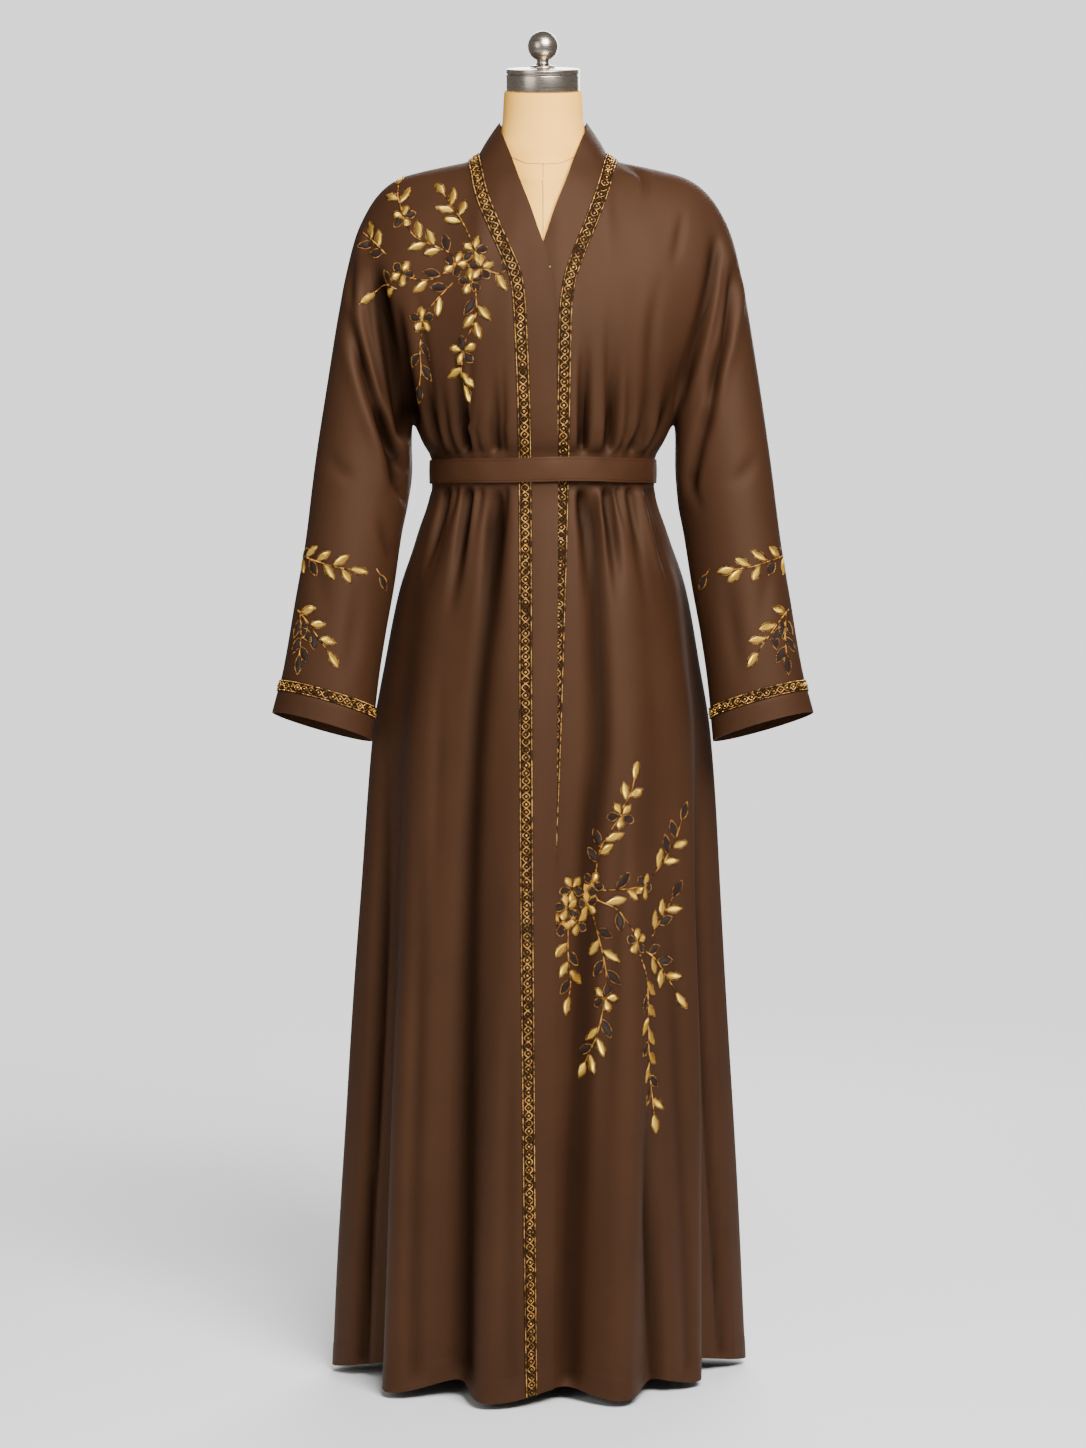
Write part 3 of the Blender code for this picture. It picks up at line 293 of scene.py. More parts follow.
# The two long troughs of the skirt, as seen from the front
LEFT_TROUGH = [(-51, 1070), (-62, 937), (-76, 805), (-86, 603), (-92, 361), (-94, 10)]
RIGHT_TROUGH = [(50, 1070), (60, 985), (64, 886), (66, 765), (54, 650), (43, 400), (33, 180), (30, 10)]
FRONT_CREASES = [
    Crease([(204, 1375), (202, 1333), (189, 1272), (169, 1202), (155, 1147)], 7, 8.0, -0.6, 0.25, 0.25),
    Crease([(225, 1340), (223, 1300), (214, 1244), (202, 1202), (189, 1118)], 6, 8.5, -0.5, 0.25, 0.25),
    Crease([(216, 1360), (213, 1310), (203, 1250), (188, 1190)], 5, 3.2, -0.4, 0.3, 0.4),
    Crease([(233, 1318), (233, 1280), (231, 1244)], 4, -1.6, 0, 0.4, 0.4),
    Crease([(196, 1170), (182, 1112), (170, 1050)], 7, 6, 0.4, 0.25, 0.25),
    Crease([(85, 1453), (113, 1440), (122, 1420), (116, 1391)], 5, 2.8, 0.5, 0.3, 0.5),
    Crease([(167, 1402), (160, 1360), (152, 1322)], 6, 2.2, 0.3, 0.4, 0.5),
    Crease([(140, 1330), (128, 1260), (124, 1190), (122, 1112)], 7, 3.6, 0.5, 0.5, 0.05),
    Crease([(-204, 1384), (-206, 1365), (-209, 1340)], 5, 3.4, 0.5, 0.4, 0.4),
    Crease([(-224, 1346), (-227, 1310), (-224, 1270)], 5, 4.2, 0.5, 0.4, 0.4),
    Crease([(-201, 1340), (-190, 1272), (-173, 1188), (-158, 1120)], 10, 15.0, 0.35, 0.25, 0.1),
    Crease([(-214, 1330), (-206, 1262), (-192, 1200), (-176, 1140)], 6, 7.0, 0.4, 0.3, 0.3),
    Crease([(-173, 1290), (-162, 1214), (-149, 1138)], 6, 6.5, -0.4, 0.3, 0.1),
    Crease([(-235, 1288), (-210, 1202), (-190, 1147), (-160, 1080)], 7, 11.0, 0.4, 0.3, 0.2),
    Crease([(-196, 1170), (-180, 1112), (-167, 1050)], 8, 9.0, 0.4, 0.25, 0.25),
    Crease([(-170, 1113), (-164, 1098), (-157, 1084)], 4, 3.0, 0.5, 0.3, 0.3),
    Crease([(-169, 1072), (-166, 1060), (-161, 1044)], 4, 2.6, 0.5, 0.3, 0.3),
    Crease([(-194, 1040), (-183, 1002), (-175, 970)], 6, 3.4, 0.4, 0.4, 0.4),
    Crease([(-262, 1120), (-240, 1090), (-214, 1072)], 9, 2.4, 0.3, 0.5, 0.5),
    Crease([(258, 1120), (238, 1086), (210, 1066)], 9, 2.6, 0.3, 0.5, 0.5),
    Crease([(172, 1088), (178, 1062), (190, 1034)], 5, 2.6, 0.3, 0.3, 0.5),
    Crease([(-280, 1010), (-262, 960), (-252, 900)], 10, 2.0, 0.3, 0.5, 0.5),
    Crease([(276, 1004), (262, 950), (254, 880)], 10, 2.2, 0.3, 0.5, 0.5),
    Crease([(-214, 980), (-222, 900), (-232, 830)], 10, 2.6, 0.3, 0.5, 0.4),
    Crease([(212, 990), (222, 905), (234, 826)], 10, 2.8, 0.3, 0.5, 0.4),
    Crease([(-150, 1322), (-141, 1240), (-131, 1170), (-124, 1108)], 6, 3.6, 0.5, 0.5, 0.05),
    Crease([(-84, 1250), (-86, 1180), (-88, 1108)], 5, 3.4, 0.5, 0.6, 0.05),
    Crease([(-58, 1200), (-56, 1150), (-54, 1108)], 4, 2.2, 0.4, 0.6, 0.05),
    Crease([(47, 1250), (46, 1180), (45, 1108)], 5, 3.6, -0.5, 0.6, 0.05),
    Crease([(78, 1300), (77, 1200), (76, 1108)], 6, 3.6, 0.5, 0.6, 0.05),
    Crease([(100, 1240), (102, 1170), (104, 1108)], 5, 2.8, 0.4, 0.6, 0.05),
    Crease([(-88, 1070), (-98, 980), (-112, 900)], 6, 4.2, 0.5, 0.05, 0.7),
    Crease(LEFT_TROUGH, 12, 8.5, -0.35, 0.08, 0.02),
    Crease(RIGHT_TROUGH, 12, 8.0, 0.35, 0.06, 0.02),
    Crease([(77, 1070), (84, 980), (90, 900)], 6, 3.8, 0.5, 0.05, 0.7),
    Crease([(102, 1070), (112, 990), (126, 910)], 5, 3.2, 0.4, 0.05, 0.7),
    Crease([(126, 1070), (140, 1010), (160, 950)], 6, 5.0, 0.5, 0.05, 0.6),
    Crease([(-112, 1070), (-124, 1000), (-142, 930)], 6, 4.0, 0.4, 0.05, 0.6),
    Crease([(-186, 860), (-193, 523), (-200, 341), (-210, 176), (-217, 10)], 7, 9.0, 0.5, 0.3, 0.02),
    Crease([(-174, 830), (-180, 523), (-188, 341), (-198, 176), (-204, 10)], 4, -2.2, 0, 0.3, 0.02),
    Crease([(182, 820), (188, 546), (195, 381), (205, 216), (218, 10)], 7, 6.0, -0.5, 0.3, 0.02),
    Crease([(172, 760), (179, 546), (185, 381), (194, 216), (207, 10)], 4, -2.2, 0, 0.3, 0.02),
    Crease([(124, 420), (125, 260), (128, 150), (134, 10)], 8, 7.5, -0.5, 0.5, 0.02),
    Crease([(-140, 760), (-146, 420), (-150, 200), (-148, 10)], 9, 5.0, 0.4, 0.4, 0.05),
    Crease([(148, 760), (158, 420), (168, 200), (174, 10)], 9, 4.5, 0.4, 0.4, 0.05),
    Crease([(-34, 560), (-38, 320), (-34, 10)], 10, 3.5, 0.3, 0.5, 0.05),
    Crease([(96, 860), (88, 640), (76, 420), (70, 200)], 9, 2.8, 0.3, 0.5, 0.4),
    Crease([(-118, 900), (-124, 700), (-128, 480)], 8, 2.4, 0.3, 0.4, 0.5),
]
BACK_CREASES = [
    Crease([(199, 1350), (190, 1280), (172, 1205), (156, 1145)], 8, 6.5, 0.5, 0.25, 0.25),
    Crease([(-201, 1346), (-189, 1268), (-174, 1198), (-157, 1150)], 8, 6.0, -0.5, 0.25, 0.25),
    Crease([(228, 1320), (219, 1250), (203, 1185), (188, 1112)], 8, 6.5, 0.4, 0.3, 0.3),
    Crease([(-229, 1312), (-218, 1240), (-205, 1180), (-186, 1120)], 8, 7.0, -0.4, 0.3, 0.3),
    Crease([(196, 1160), (184, 1110), (172, 1052)], 8, 4.0, 0.4, 0.3, 0.3),
    Crease([(-194, 1150), (-183, 1100), (-170, 1040)], 8, 4.0, -0.4, 0.3, 0.3),
    Crease([(120, 1400), (128, 1330), (126, 1240)], 10, 2.0, 0.3, 0.4, 0.6),
    Crease([(-116, 1404), (-126, 1320), (-121, 1232)], 10, 2.2, -0.3, 0.4, 0.6),
    Crease([(66, 1260), (64, 1180), (62, 1112)], 7, 2.6, 0.4, 0.6, 0.1),
    Crease([(-20, 1280), (-22, 1190), (-20, 1112)], 7, 2.4, 0.4, 0.6, 0.1),
    Crease([(-74, 1250), (-72, 1180), (-74, 1112)], 7, 2.8, 0.4, 0.6, 0.1),
    Crease([(58, 1066), (70, 960), (84, 820), (92, 640)], 9, 3.2, 0.4, 0.1, 0.6),
    Crease([(-12, 1066), (-14, 960), (-10, 800), (-4, 600)], 9, 3.4, 0.4, 0.1, 0.6),
    Crease([(-84, 1066), (-100, 950), (-118, 810)], 8, 3.0, 0.4, 0.1, 0.6),
    Crease([(118, 1066), (136, 990), (156, 900)], 8, 3.0, 0.4, 0.1, 0.6),
    Crease([(150, 620), (158, 380), (166, 160), (168, 12)], 7, -2.4, 0, 0.4, 0.05),
    Crease([(-152, 660), (-161, 400), (-170, 180), (-172, 12)], 7, -2.4, 0, 0.4, 0.05),
    Crease([(60, 520), (68, 300), (74, 12)], 8, -2.2, 0, 0.5, 0.05),
    Crease([(-66, 560), (-72, 320), (-70, 12)], 8, -2.4, 0, 0.5, 0.05),
    Crease([(280, 1010), (264, 950), (250, 880)], 10, 2.0, 0.3, 0.5, 0.5),
    Crease([(-278, 1000), (-262, 940), (-252, 870)], 10, 2.0, 0.3, 0.5, 0.5),
]

# Slow waves of slack in the cloth: turns round the body, rise per metre, phase and depth.
Slack = namedtuple("Slack", "turns rise phase depth")
SLACK_WAVES = [
    Slack(9, 5.0, 0.4, 0.5),
    Slack(14, -7.0, 2.1, 0.4),
    Slack(23, 4.0, 4.4, 0.22),
    Slack(5, 17.0, 1.2, 0.3),
]

FormRing = namedtuple("FormRing", "height half_width front back neck_share centre_y")
FORM = [
    FormRing(800, 150, 96, 104, 0, 0),
    FormRing(835, 158, 104, 112, 0, 0),
    FormRing(880, 162, 108, 116, 0, 0),
    FormRing(940, 156, 104, 110, 0, 0),
    FormRing(1000, 138, 96, 98, 0, 0),
    FormRing(1050, 122, 88, 86, 0, 0),
    FormRing(1089, 117, 86, 82, 0, 0),
    FormRing(1140, 124, 92, 88, 0, 0),
    FormRing(1200, 136, 98, 92, 0, 0),
    FormRing(1260, 146, 101, 93, 0, 0),
    FormRing(1305, 151, 97, 92, 0, 0),
    FormRing(1345, 158, 90, 90, 0, 0),
    FormRing(1380, 168, 84, 86, 0.10, 5),
    FormRing(1405, 172, 77, 76, 0.20, 5),
    FormRing(1427, 140, 76, 64, 0.50, 5),
    FormRing(1435, 125, 71, 58, 0.50, 5),
    FormRing(1443, 108, 66, 53, 0.50, 5),
    FormRing(1450, 90, 60, 50, 0.45, 5),
    FormRing(1456, 76, 56, 50, 0.35, 4),
    FormRing(1463, 65, 53, 49, 0.2, 3),
    FormRing(1472, 58, 50, 48, 0.05, 2),
    FormRing(1485, 51.5, 48, 47.5, 0, 2),
    FormRing(1505, 48, 46.5, 47, 0, 2),
    FormRing(1525, 47, 46.2, 46.5, 0, 1),
    FormRing(1538, 46, 46, 46, 0, 0),
]
FORM_SIDES = 96

# Seams of the form's cover, the pin at the neck and the snap where the bands cross
FORM_SEAMS = [
    [(0, -60, 1447), (0, -70, 1420), (0, -80, 1390), (0, -90, 1350), (0, -98, 1300), (0, -100, 1250)],
    [
        (0, -60, 1447),
        (-22, -52, 1450),
        (-44, -30, 1460),
        (-54, 0, 1467),
        (-46, 30, 1470),
        (0, 52, 1472),
        (46, 30, 1470),
        (54, 0, 1467),
        (44, -30, 1460),
        (22, -52, 1450),
        (0, -60, 1447),
    ],
]
PIN = (0, -58, 1446)
PIN_RADIUS = 1.1
SEAM_THREAD_RADIUS = 0.45
SNAP = (8, 1323)
SNAP_RADIUS = 1.3
NECK_RISE_WIDTH = 45.0
CAP_TILT = math.radians(10)
CAP_RADIUS = 43.8
CAP_HEIGHT = 26.0
CAP_GAP = 0.3
TILT_START = 1500
FORM_FINE_ABOVE = 1400
BALL_RADIUS = 18.0


# Reading the tables


def smooth_read(at, places, values):
    """A smooth curve through the values that never overshoots them."""
    places = np.asarray(places, float)
    values = np.asarray(values, float)
    slopes = np.diff(values) / np.diff(places)
    tangents = np.zeros(len(values))
    for i in range(1, len(values) - 1):
        before, after = slopes[i - 1], slopes[i]
        if before * after > 0:
            tangents[i] = 2 * before * after / (before + after)
    tangents[0], tangents[-1] = slopes[0], slopes[-1]
    at = np.clip(at, places[0], places[-1])
    i = np.clip(np.searchsorted(places, at) - 1, 0, len(slopes) - 1)
    width = places[i + 1] - places[i]
    s = (at - places[i]) / width
    rise = values[i + 1] - values[i]
    return (
        values[i]
        + s * width * tangents[i]
        + s**2 * (3 * rise - width * (2 * tangents[i] + tangents[i + 1]))
        + s**3 * (width * (tangents[i] + tangents[i + 1]) - 2 * rise)
    )


def read(table, column, at):
    return smooth_read(at, [row[0] for row in table], [getattr(row, column) for row in table])


def ease(x):
    x = np.clip(x, 0.0, 1.0)
    return x * x * (3 - 2 * x)


def unit(vectors):
    return vectors / np.maximum(np.linalg.norm(vectors, axis=-1, keepdims=True), 1e-9)


# The cloth's surface below the armholes


def mean_radius(angle, height):
    half_width = read(BODY, "half_width", height)
    depth = np.where(
        np.cos(angle) > 0, read(BODY, "front_depth", height), read(BODY, "back_depth", height)
    )
    return 1 / np.sqrt((np.sin(angle) / half_width) ** 2 + (np.cos(angle) / depth) ** 2)


def skirt_share(height):
    """0 at the waist and 1 at the hem."""
    return np.clip(1 - (height - HEM_HEIGHT) / (CALM_BELOW - HEM_HEIGHT), 0, 1)


def between_folds(angle, height, values):
    """Eases from the value on each line of SKIRT_FOLDS to the next one's, round the body."""
    down = skirt_share(height)
    lines = [np.radians(f.waist_angle + (f.hem_angle - f.waist_angle) * down) for f in SKIRT_FOLDS]
    turn = (angle - lines[0]) % (2 * math.pi)
    total = np.zeros(np.broadcast(angle, height).shape)
    for i in range(len(lines)):
        start = lines[i] - lines[0]
        last = i == len(lines) - 1
        end = np.full_like(start, 2 * math.pi) if last else lines[i + 1] - lines[0]
        share = (turn - start) / (end - start)
        after = values[(i + 1) % len(values)]
        value = values[i] + (after - values[i]) * (1 - np.cos(math.pi * share)) / 2
        total = np.where((turn >= start) & (turn < end), value, total)
    return total


FOLD_DEPTHS = [
    f.hem_radius - float(mean_radius(math.radians(f.hem_angle), HEM_HEIGHT)) for f in SKIRT_FOLDS
]
FOLD_LIFTS = [f.hem_lift for f in SKIRT_FOLDS]


def gather_depth(angle, height):
    """How far the gathers at the belt pull the cloth in."""
    total = np.zeros(np.broadcast(angle, height).shape)
    for g in GATHERS:
        off = (np.degrees(angle) - g.angle + 180) % 360 - 180
        up, down = height > CALM_ABOVE, height < CALM_BELOW
        along = np.where(up, (height - CALM_ABOVE) / g.reach_up, (CALM_BELOW - height) / g.reach_down)
        strength = ease(along / GATHER_START) * (1 - ease(along)) * (up | down)
        across = np.exp(-((off / g.half_width) ** 2))
        away = math.copysign(GATHER_RIDGE_AWAY, -g.angle) * g.half_width
        beside = np.exp(-(((off - away) / g.half_width) ** 2))
        total += GATHER_STRENGTH * g.depth * strength * (across - g.ridge * GATHER_RIDGE_SHARE * beside)
    return total


def overlap_lift(x, height):
    """The wearer's right front lies over the left one."""
    across = ease((x - OVERLAP_START_X) / OVERLAP_GROWTH)
    return OVERLAP_LIFT * across * ease((OVERLAP_TOP - height) / OVERLAP_FADE)


def ring_points(angle, height, over=False):
    angle, height = np.broadcast_arrays(angle, height)
    down = skirt_share(height)
    radius = mean_radius(angle, height) - gather_depth(angle, height)
    radius = radius + down**FOLD_GROWTH * between_folds(angle, height, FOLD_DEPTHS)
    if over:
        radius = radius + overlap_lift(radius * np.sin(angle), height)
    lifted = height + between_folds(angle, height, FOLD_LIFTS) * down**2
    return np.stack([radius * np.sin(angle), -radius * np.cos(angle), lifted], axis=-1)


def angle_at(x, height, over=False):
    """The angle in front at which the ring reaches a distance from the middle."""
    angle = np.arcsin(x / 200)
    for _ in range(30):
        found = ring_points(angle, height, over)
        angle = angle + 0.7 * (x - found[..., 0]) / np.hypot(found[..., 0], found[..., 1])
    return angle


def angle_along(angle, distance, height, over):
    """The angle at a distance along the cloth from another angle."""
    step = math.radians(0.5)
    gone = np.linalg.norm(
        ring_points(angle + step, height, over) - ring_points(angle, height, over), axis=-1
    )
    return angle + step * distance / gone


# The cloth's surface above the armholes' lowest point


def shoulder_height(x):
    places = [NECK_SIDE_X, *np.linspace(TRIM_TURN_X, SHOULDER_TIP_X, len(SHOULDER_STEPS))]
    return smooth_read(np.abs(x), places, [NECK_SIDE_HEIGHT, *SHOULDER_STEPS])


def roundness(share):
    """Full depth on the chest, falling away to nothing on the shoulder line."""
    return np.sqrt(np.maximum(0.0, 1 - share**3))


def chest_depth(x, share, column):
    depth = read(CHEST, column, share)
    return depth * np.sqrt(np.maximum(0.0, 1 - (x / read(CHEST, "half_width", share)) ** 2))


def drawn_in(x, y, height):
    radial = unit(np.stack([x, y], axis=-1))
    pulled = np.stack([x, y], axis=-1) - radial * gather_depth(np.arctan2(x, -y), height)[..., None]
    return pulled[..., 0], pulled[..., 1]


def chest_points(x, share, over=False):
    x, share = np.broadcast_arrays(x, share)
    height = UNDERARM_HEIGHT + share * (shoulder_height(x) - UNDERARM_HEIGHT)
    y = SHOULDER_Y * (1 - roundness(share)) - chest_depth(x, share, "front_depth") * roundness(share)
    x, y = drawn_in(x, y, height)
    if over:
        y = y - overlap_lift(x, height)
    return np.stack([x, y, height], axis=-1)


def back_points(x, share):
    x, share = np.broadcast_arrays(x, share)
    bend = np.sqrt(np.maximum(0.0, 1 - (x / NECK_SIDE_X) ** 2))
    top_y = SHOULDER_Y + (BACK_NECK_Y - SHOULDER_Y) * bend
    top = shoulder_height(x) - (NECK_SIDE_HEIGHT - BACK_NECK_HEIGHT) * bend
    height = UNDERARM_HEIGHT + share * (top - UNDERARM_HEIGHT)
    y = top_y * (1 - roundness(share)) + chest_depth(x, share, "back_depth") * roundness(share)
    x, y = drawn_in(x, y, height)
    return np.stack([x, y, height], axis=-1)


def line_x(column, height):
    return read(FRONT_LINES, column, height)


def seam_height(share):
    return UNDERARM_HEIGHT + share * (NECK_SIDE_HEIGHT - UNDERARM_HEIGHT)


# Rows of points, close together at the turned hem and over the shoulder's curve


def skirt_rows():
    hem = [HEM_HEIGHT, 10, 14, 20, 26, 30, HEM_HEIGHT + HEM_DEPTH, 35.5, 39]
    return np.array([*hem, *np.linspace(48, 1052, 98), 1057, 1062, 1066, CALM_BELOW])


def bodice_rows():
    return np.array([1082, 1094, CALM_ABOVE, 1110, 1114, 1119, 1124, 1130, UNDERARM_HEIGHT])


def chest_rows():
    turn = roundness(0.72)
    bends = np.linspace(turn, 0, 27)[1:]
    return np.array([*np.linspace(0, 0.72, 31)[1:], *np.cbrt(1 - bends**2)])


def ring_heights():
    return np.concatenate([skirt_rows(), bodice_rows()])


# Grids of points for the cut pieces, rows from the hem up


def trim_reach(seam, side, shares, over):
    """How far across a row the trim reaches, so that it keeps its width square to the seam."""
    step = 0.004
    low = np.minimum(shares, 0.985)
    here, ahead = line_x(seam, seam_height(low)), line_x(seam, seam_height(low + step))
    start = chest_points(here, low, over)
    along = chest_points(ahead, low + step, over) - start
    across = chest_points(here + side, low, over) - start
    square = np.linalg.norm(np.cross(along, across), axis=-1) / np.linalg.norm(along, axis=-1)
    reach = TRIM_WIDTH / np.maximum(square, 0.9)
    return reach + (TRIM_TURN_X - NECK_SIDE_X - reach) * ease((shares - 0.97) / 0.03)


def front_grid(side):
    """The front on one side: -1 is the wearer's right, 1 the left."""
    over = side < 0
    seam = "right_seam" if over else "left_seam"
    heights = ring_heights()
    start = angle_at(line_x(seam, heights), heights, over)
    trim_end = angle_along(start, side * TRIM_WIDTH, heights, over)
    in_trim = np.linspace(0, 1, TRIM_COLUMNS + 1)[:-1]
    even = np.linspace(0, 1, FRONT_COLUMNS + 1)
    angles = np.concatenate(
        [
            start[:, None] + (trim_end - start)[:, None] * in_trim,
            trim_end[:, None] * (1 - even) + side * math.pi / 2 * even,
        ],
        axis=1,
    )
    low = ring_points(angles, heights[:, None], over)
    base = mean_radius(angles[-1, TRIM_COLUMNS:], UNDERARM_HEIGHT) * np.sin(angles[-1, TRIM_COLUMNS:])
    base_share = (base - base[0]) / (base[-1] - base[0])
    shares = chest_rows()
    begin = line_x(seam, seam_height(shares))
    reach = side * trim_reach(seam, side, shares, over)
    spread = base_share + (even - base_share) * ease(shares / 0.5)[:, None]
    end = side * read(CHEST, "armhole_x", shares)
    rest = (begin + reach)[:, None] + (end - begin - reach)[:, None] * spread
    places = np.concatenate([begin[:, None] + reach[:, None] * in_trim, rest], axis=1)
    return np.concatenate([low, chest_points(places, shares[:, None], over)])


def neckline_places():
    """Distances from the middle at which the back's columns meet its top edge."""
    turn = np.linspace(0, math.pi / 2, NECK_COLUMNS + 1)
    under_trim = np.linspace(NECK_SIDE_X, TRIM_TURN_X, TRIM_COLUMNS + 1)
    rest = np.linspace(TRIM_TURN_X, SHOULDER_TIP_X, FRONT_COLUMNS + 1)
    return np.array([*(NECK_SIDE_X * np.sin(turn)), *under_trim[1:], *rest[1:]])


def back_grid():
    places = neckline_places()
    half = np.linspace(math.pi, math.pi / 2, len(places))
    angles = np.concatenate([-half[:0:-1], half])
    low = ring_points(angles[None, :], ring_heights()[:, None])
    base = mean_radius(half, UNDERARM_HEIGHT) * np.sin(half)
    base = base / base[-1]
    shares = chest_rows()
    blend = ease(shares / 0.9)[:, None]
    width = read(CHEST, "armhole_x", shares)[:, None]
    across = width * (base + (places / SHOULDER_TIP_X - base) * blend)
    across = np.concatenate([-across[:, :0:-1], across], axis=1)
    return np.concatenate([low, back_points(across, shares[:, None])])


def along_path(points, distance):
    """A smooth point at a distance along a flat path."""
    points = np.array(points, float)
    lengths = np.concatenate([[0], np.cumsum(np.linalg.norm(np.diff(points, axis=0), axis=1))])
    return np.stack([smooth_read(distance, lengths, points[:, i]) for i in range(2)], axis=-1)


def path_length(points):
    return float(np.linalg.norm(np.diff(np.array(points, float), axis=0), axis=1).sum())


def sleeve_line(points, down):
    straight = path_length(points) - CUFF_STRAIGHT
    if down <= STRAIGHT_SHARE:
        return along_path(points, straight * down / STRAIGHT_SHARE)
    past = (down - STRAIGHT_SHARE) / (1 - STRAIGHT_SHARE)
    return along_path(points, straight + CUFF_STRAIGHT * past)


def cuff_share(distance):
    """The share of the way down the sleeve that lies a distance above the cuff's edge."""
    return 1 - (1 - STRAIGHT_SHARE) * distance / CUFF_STRAIGHT


def sleeve_oval(side, down, turns):
    outer, inner = sleeve_line(SLEEVE_OUTER, down), sleeve_line(SLEEVE_INNER, down)
    middle, reach = (outer + inner) / 2, (outer - inner) / 2
    half_depth = SLEEVE_HALF_DEPTH + (CUFF_HALF_DEPTH - SLEEVE_HALF_DEPTH) * down
    depth = half_depth * np.sin(turns)
    tilt = CUFF_TILT * down
    return np.stack(
        [
            side * (middle[0] + reach[0] * np.cos(turns)),
            -CUFF_LEAN * down**1.2 - depth * math.cos(tilt),
            middle[1] + reach[1] * np.cos(turns) + depth * math.sin(tilt),
        ],
        axis=-1,
    )


def sleeve_grid(side, front, back):
    """Rings from the armhole, which the front and the back give, down to the cuff."""
    first = len(ring_heights()) - 1
    aft = back[first:, -1 if side > 0 else 0]
    armhole = np.concatenate([front[first:, -1], aft[-2:0:-1]])
    rising = np.arccos(2 * np.array([0.0, *chest_rows()]) - 1)
    turns = np.concatenate([rising, -rising[-2:0:-1]])
    even = np.linspace(math.pi, -math.pi, len(turns) + 1)[:-1]
    correction = armhole - sleeve_oval(side, 0.0, turns)
    hem = [cuff_share(d) for d in (HEM_DEPTH + 3, HEM_DEPTH + 1, HEM_DEPTH - 1, 20, 12, 5, 2, 0)]
    rings = []
    for down in [*np.linspace(0, cuff_share(HEM_DEPTH + 6), SLEEVE_STEPS), *hem]:
        fade = float(1 - ease(down / ARMHOLE_BLEND))
        spread = turns + (even - turns) * (1 - fade)
        rings.append(sleeve_oval(side, down, spread) + correction * fade)
    rings[0] = armhole
    return np.array(rings)


def band_grid(side, front, back):
    """Rows from the hem to the centre back, each from the seam to the free edge."""
    over = side < 0
    edge = "right_edge" if over else "left_edge"
    across = np.linspace(0, 1, BAND_COLUMNS + 1)
    heights = ring_heights()
    seam = front[: len(heights), 0]
    start = np.arctan2(seam[:, 0], -seam[:, 1])
    end = angle_at(line_x(edge, heights), heights, over)
    low = ring_points(start[:, None] + (end - start)[:, None] * across, heights[:, None], over)
    shares = chest_rows()
    seam = front[len(heights) :, 0]
    x = line_x(edge, seam_height(shares))
    begin = line_x("right_seam" if over else "left_seam", seam_height(shares))
    lying = chest_points(begin[:, None] + (x - begin)[:, None] * across, shares[:, None], over)
    places = [row.share for row in BAND_RISE]
    rise = [smooth_read(shares, places, [getattr(r, c) for r in BAND_RISE]) for c in BandEdge._fields[1:]]
    high = np.stack([side * rise[0], rise[1], rise[2]], axis=-1)
    if over:
        high[:, 1] -= overlap_lift(high[:, 0], high[:, 2])
    blend = ease((shares - BAND_TURN_SHARE) / BAND_TURN_REACH)[:, None, None]
    roll = 1 + BAND_ROLL * 4 * across * (1 - across)
    standing = seam[:, None] * (1 - across[:, None]) + high[:, None] * across[:, None]
    standing[..., :2] *= roll[:, None]
    up = lying * (1 - blend) + standing * blend
    centre = back.shape[1] // 2
    turn = np.linspace(0, math.pi / 2, NECK_COLUMNS + 1)[1:]
    seam = back[-1, [centre + side * (NECK_COLUMNS - 1 - i) for i in range(NECK_COLUMNS)]]
    drop = (BAND_TOP_HEIGHT - BAND_TOP_BACK_HEIGHT) * np.sin(turn)
    free = np.stack(
        [
            side * BAND_TOP_HALF_WIDTH * np.cos(turn),
            BAND_TOP_BACK_Y * np.sin(turn),
            BAND_TOP_HEIGHT - drop,
        ],
        axis=-1,
    )
    behind = seam[:, None] * (1 - across[:, None]) + free[:, None] * across[:, None]
    behind[..., :2] *= roll[:, None]
    return np.concatenate([low, up, behind])


# One joined surface, so that seams share their points and directions


def grid_faces(rows, columns, closed=False):
    index = np.arange(rows * columns).reshape(rows, columns)
    if closed:
        index = np.concatenate([index, index[:, :1]], axis=1)
    corners = [index[:-1, :-1], index[:-1, 1:], index[1:, 1:], index[1:, :-1]]
    return np.stack(corners, axis=-1).reshape(-1, 4)


def point_normals(points, faces):
    a, b, c, d = (points[faces[:, k]] for k in range(4))
    direction = np.cross(c - a, d - b)
    normals = np.zeros_like(points)
    for k in range(4):
        np.add.at(normals, faces[:, k], direction)
    return unit(normals)


class Cut:
    """A cut piece: its grid of points and its four-sided faces, turned outwards."""

    def __init__(self, name, grid, middle, closed=False):
        self.name = name
        self.shape = grid.shape[:2]
        self.points = grid.reshape(-1, 3).copy()
        self.faces = grid_faces(*self.shape, closed)
        self.normals = point_normals(self.points, self.faces)
        if (self.normals * (self.points - np.array(middle))).sum() < 0:
            self.faces = self.faces[:, ::-1]
            self.normals = -self.normals

    def grid(self):
        return self.points.reshape(*self.shape, 3)


def joined(cuts):
    """The cuts' points with those at seams made one, and each cut's places in them."""
    points = np.concatenate([cut.points for cut in cuts])
    keys = np.round(points * 200).astype(np.int64)
    _, first, places = np.unique(keys, axis=0, return_index=True, return_inverse=True)
    places = places.reshape(-1)
    ends = np.cumsum([len(cut.points) for cut in cuts])
    return points[first], np.split(places, ends[:-1])


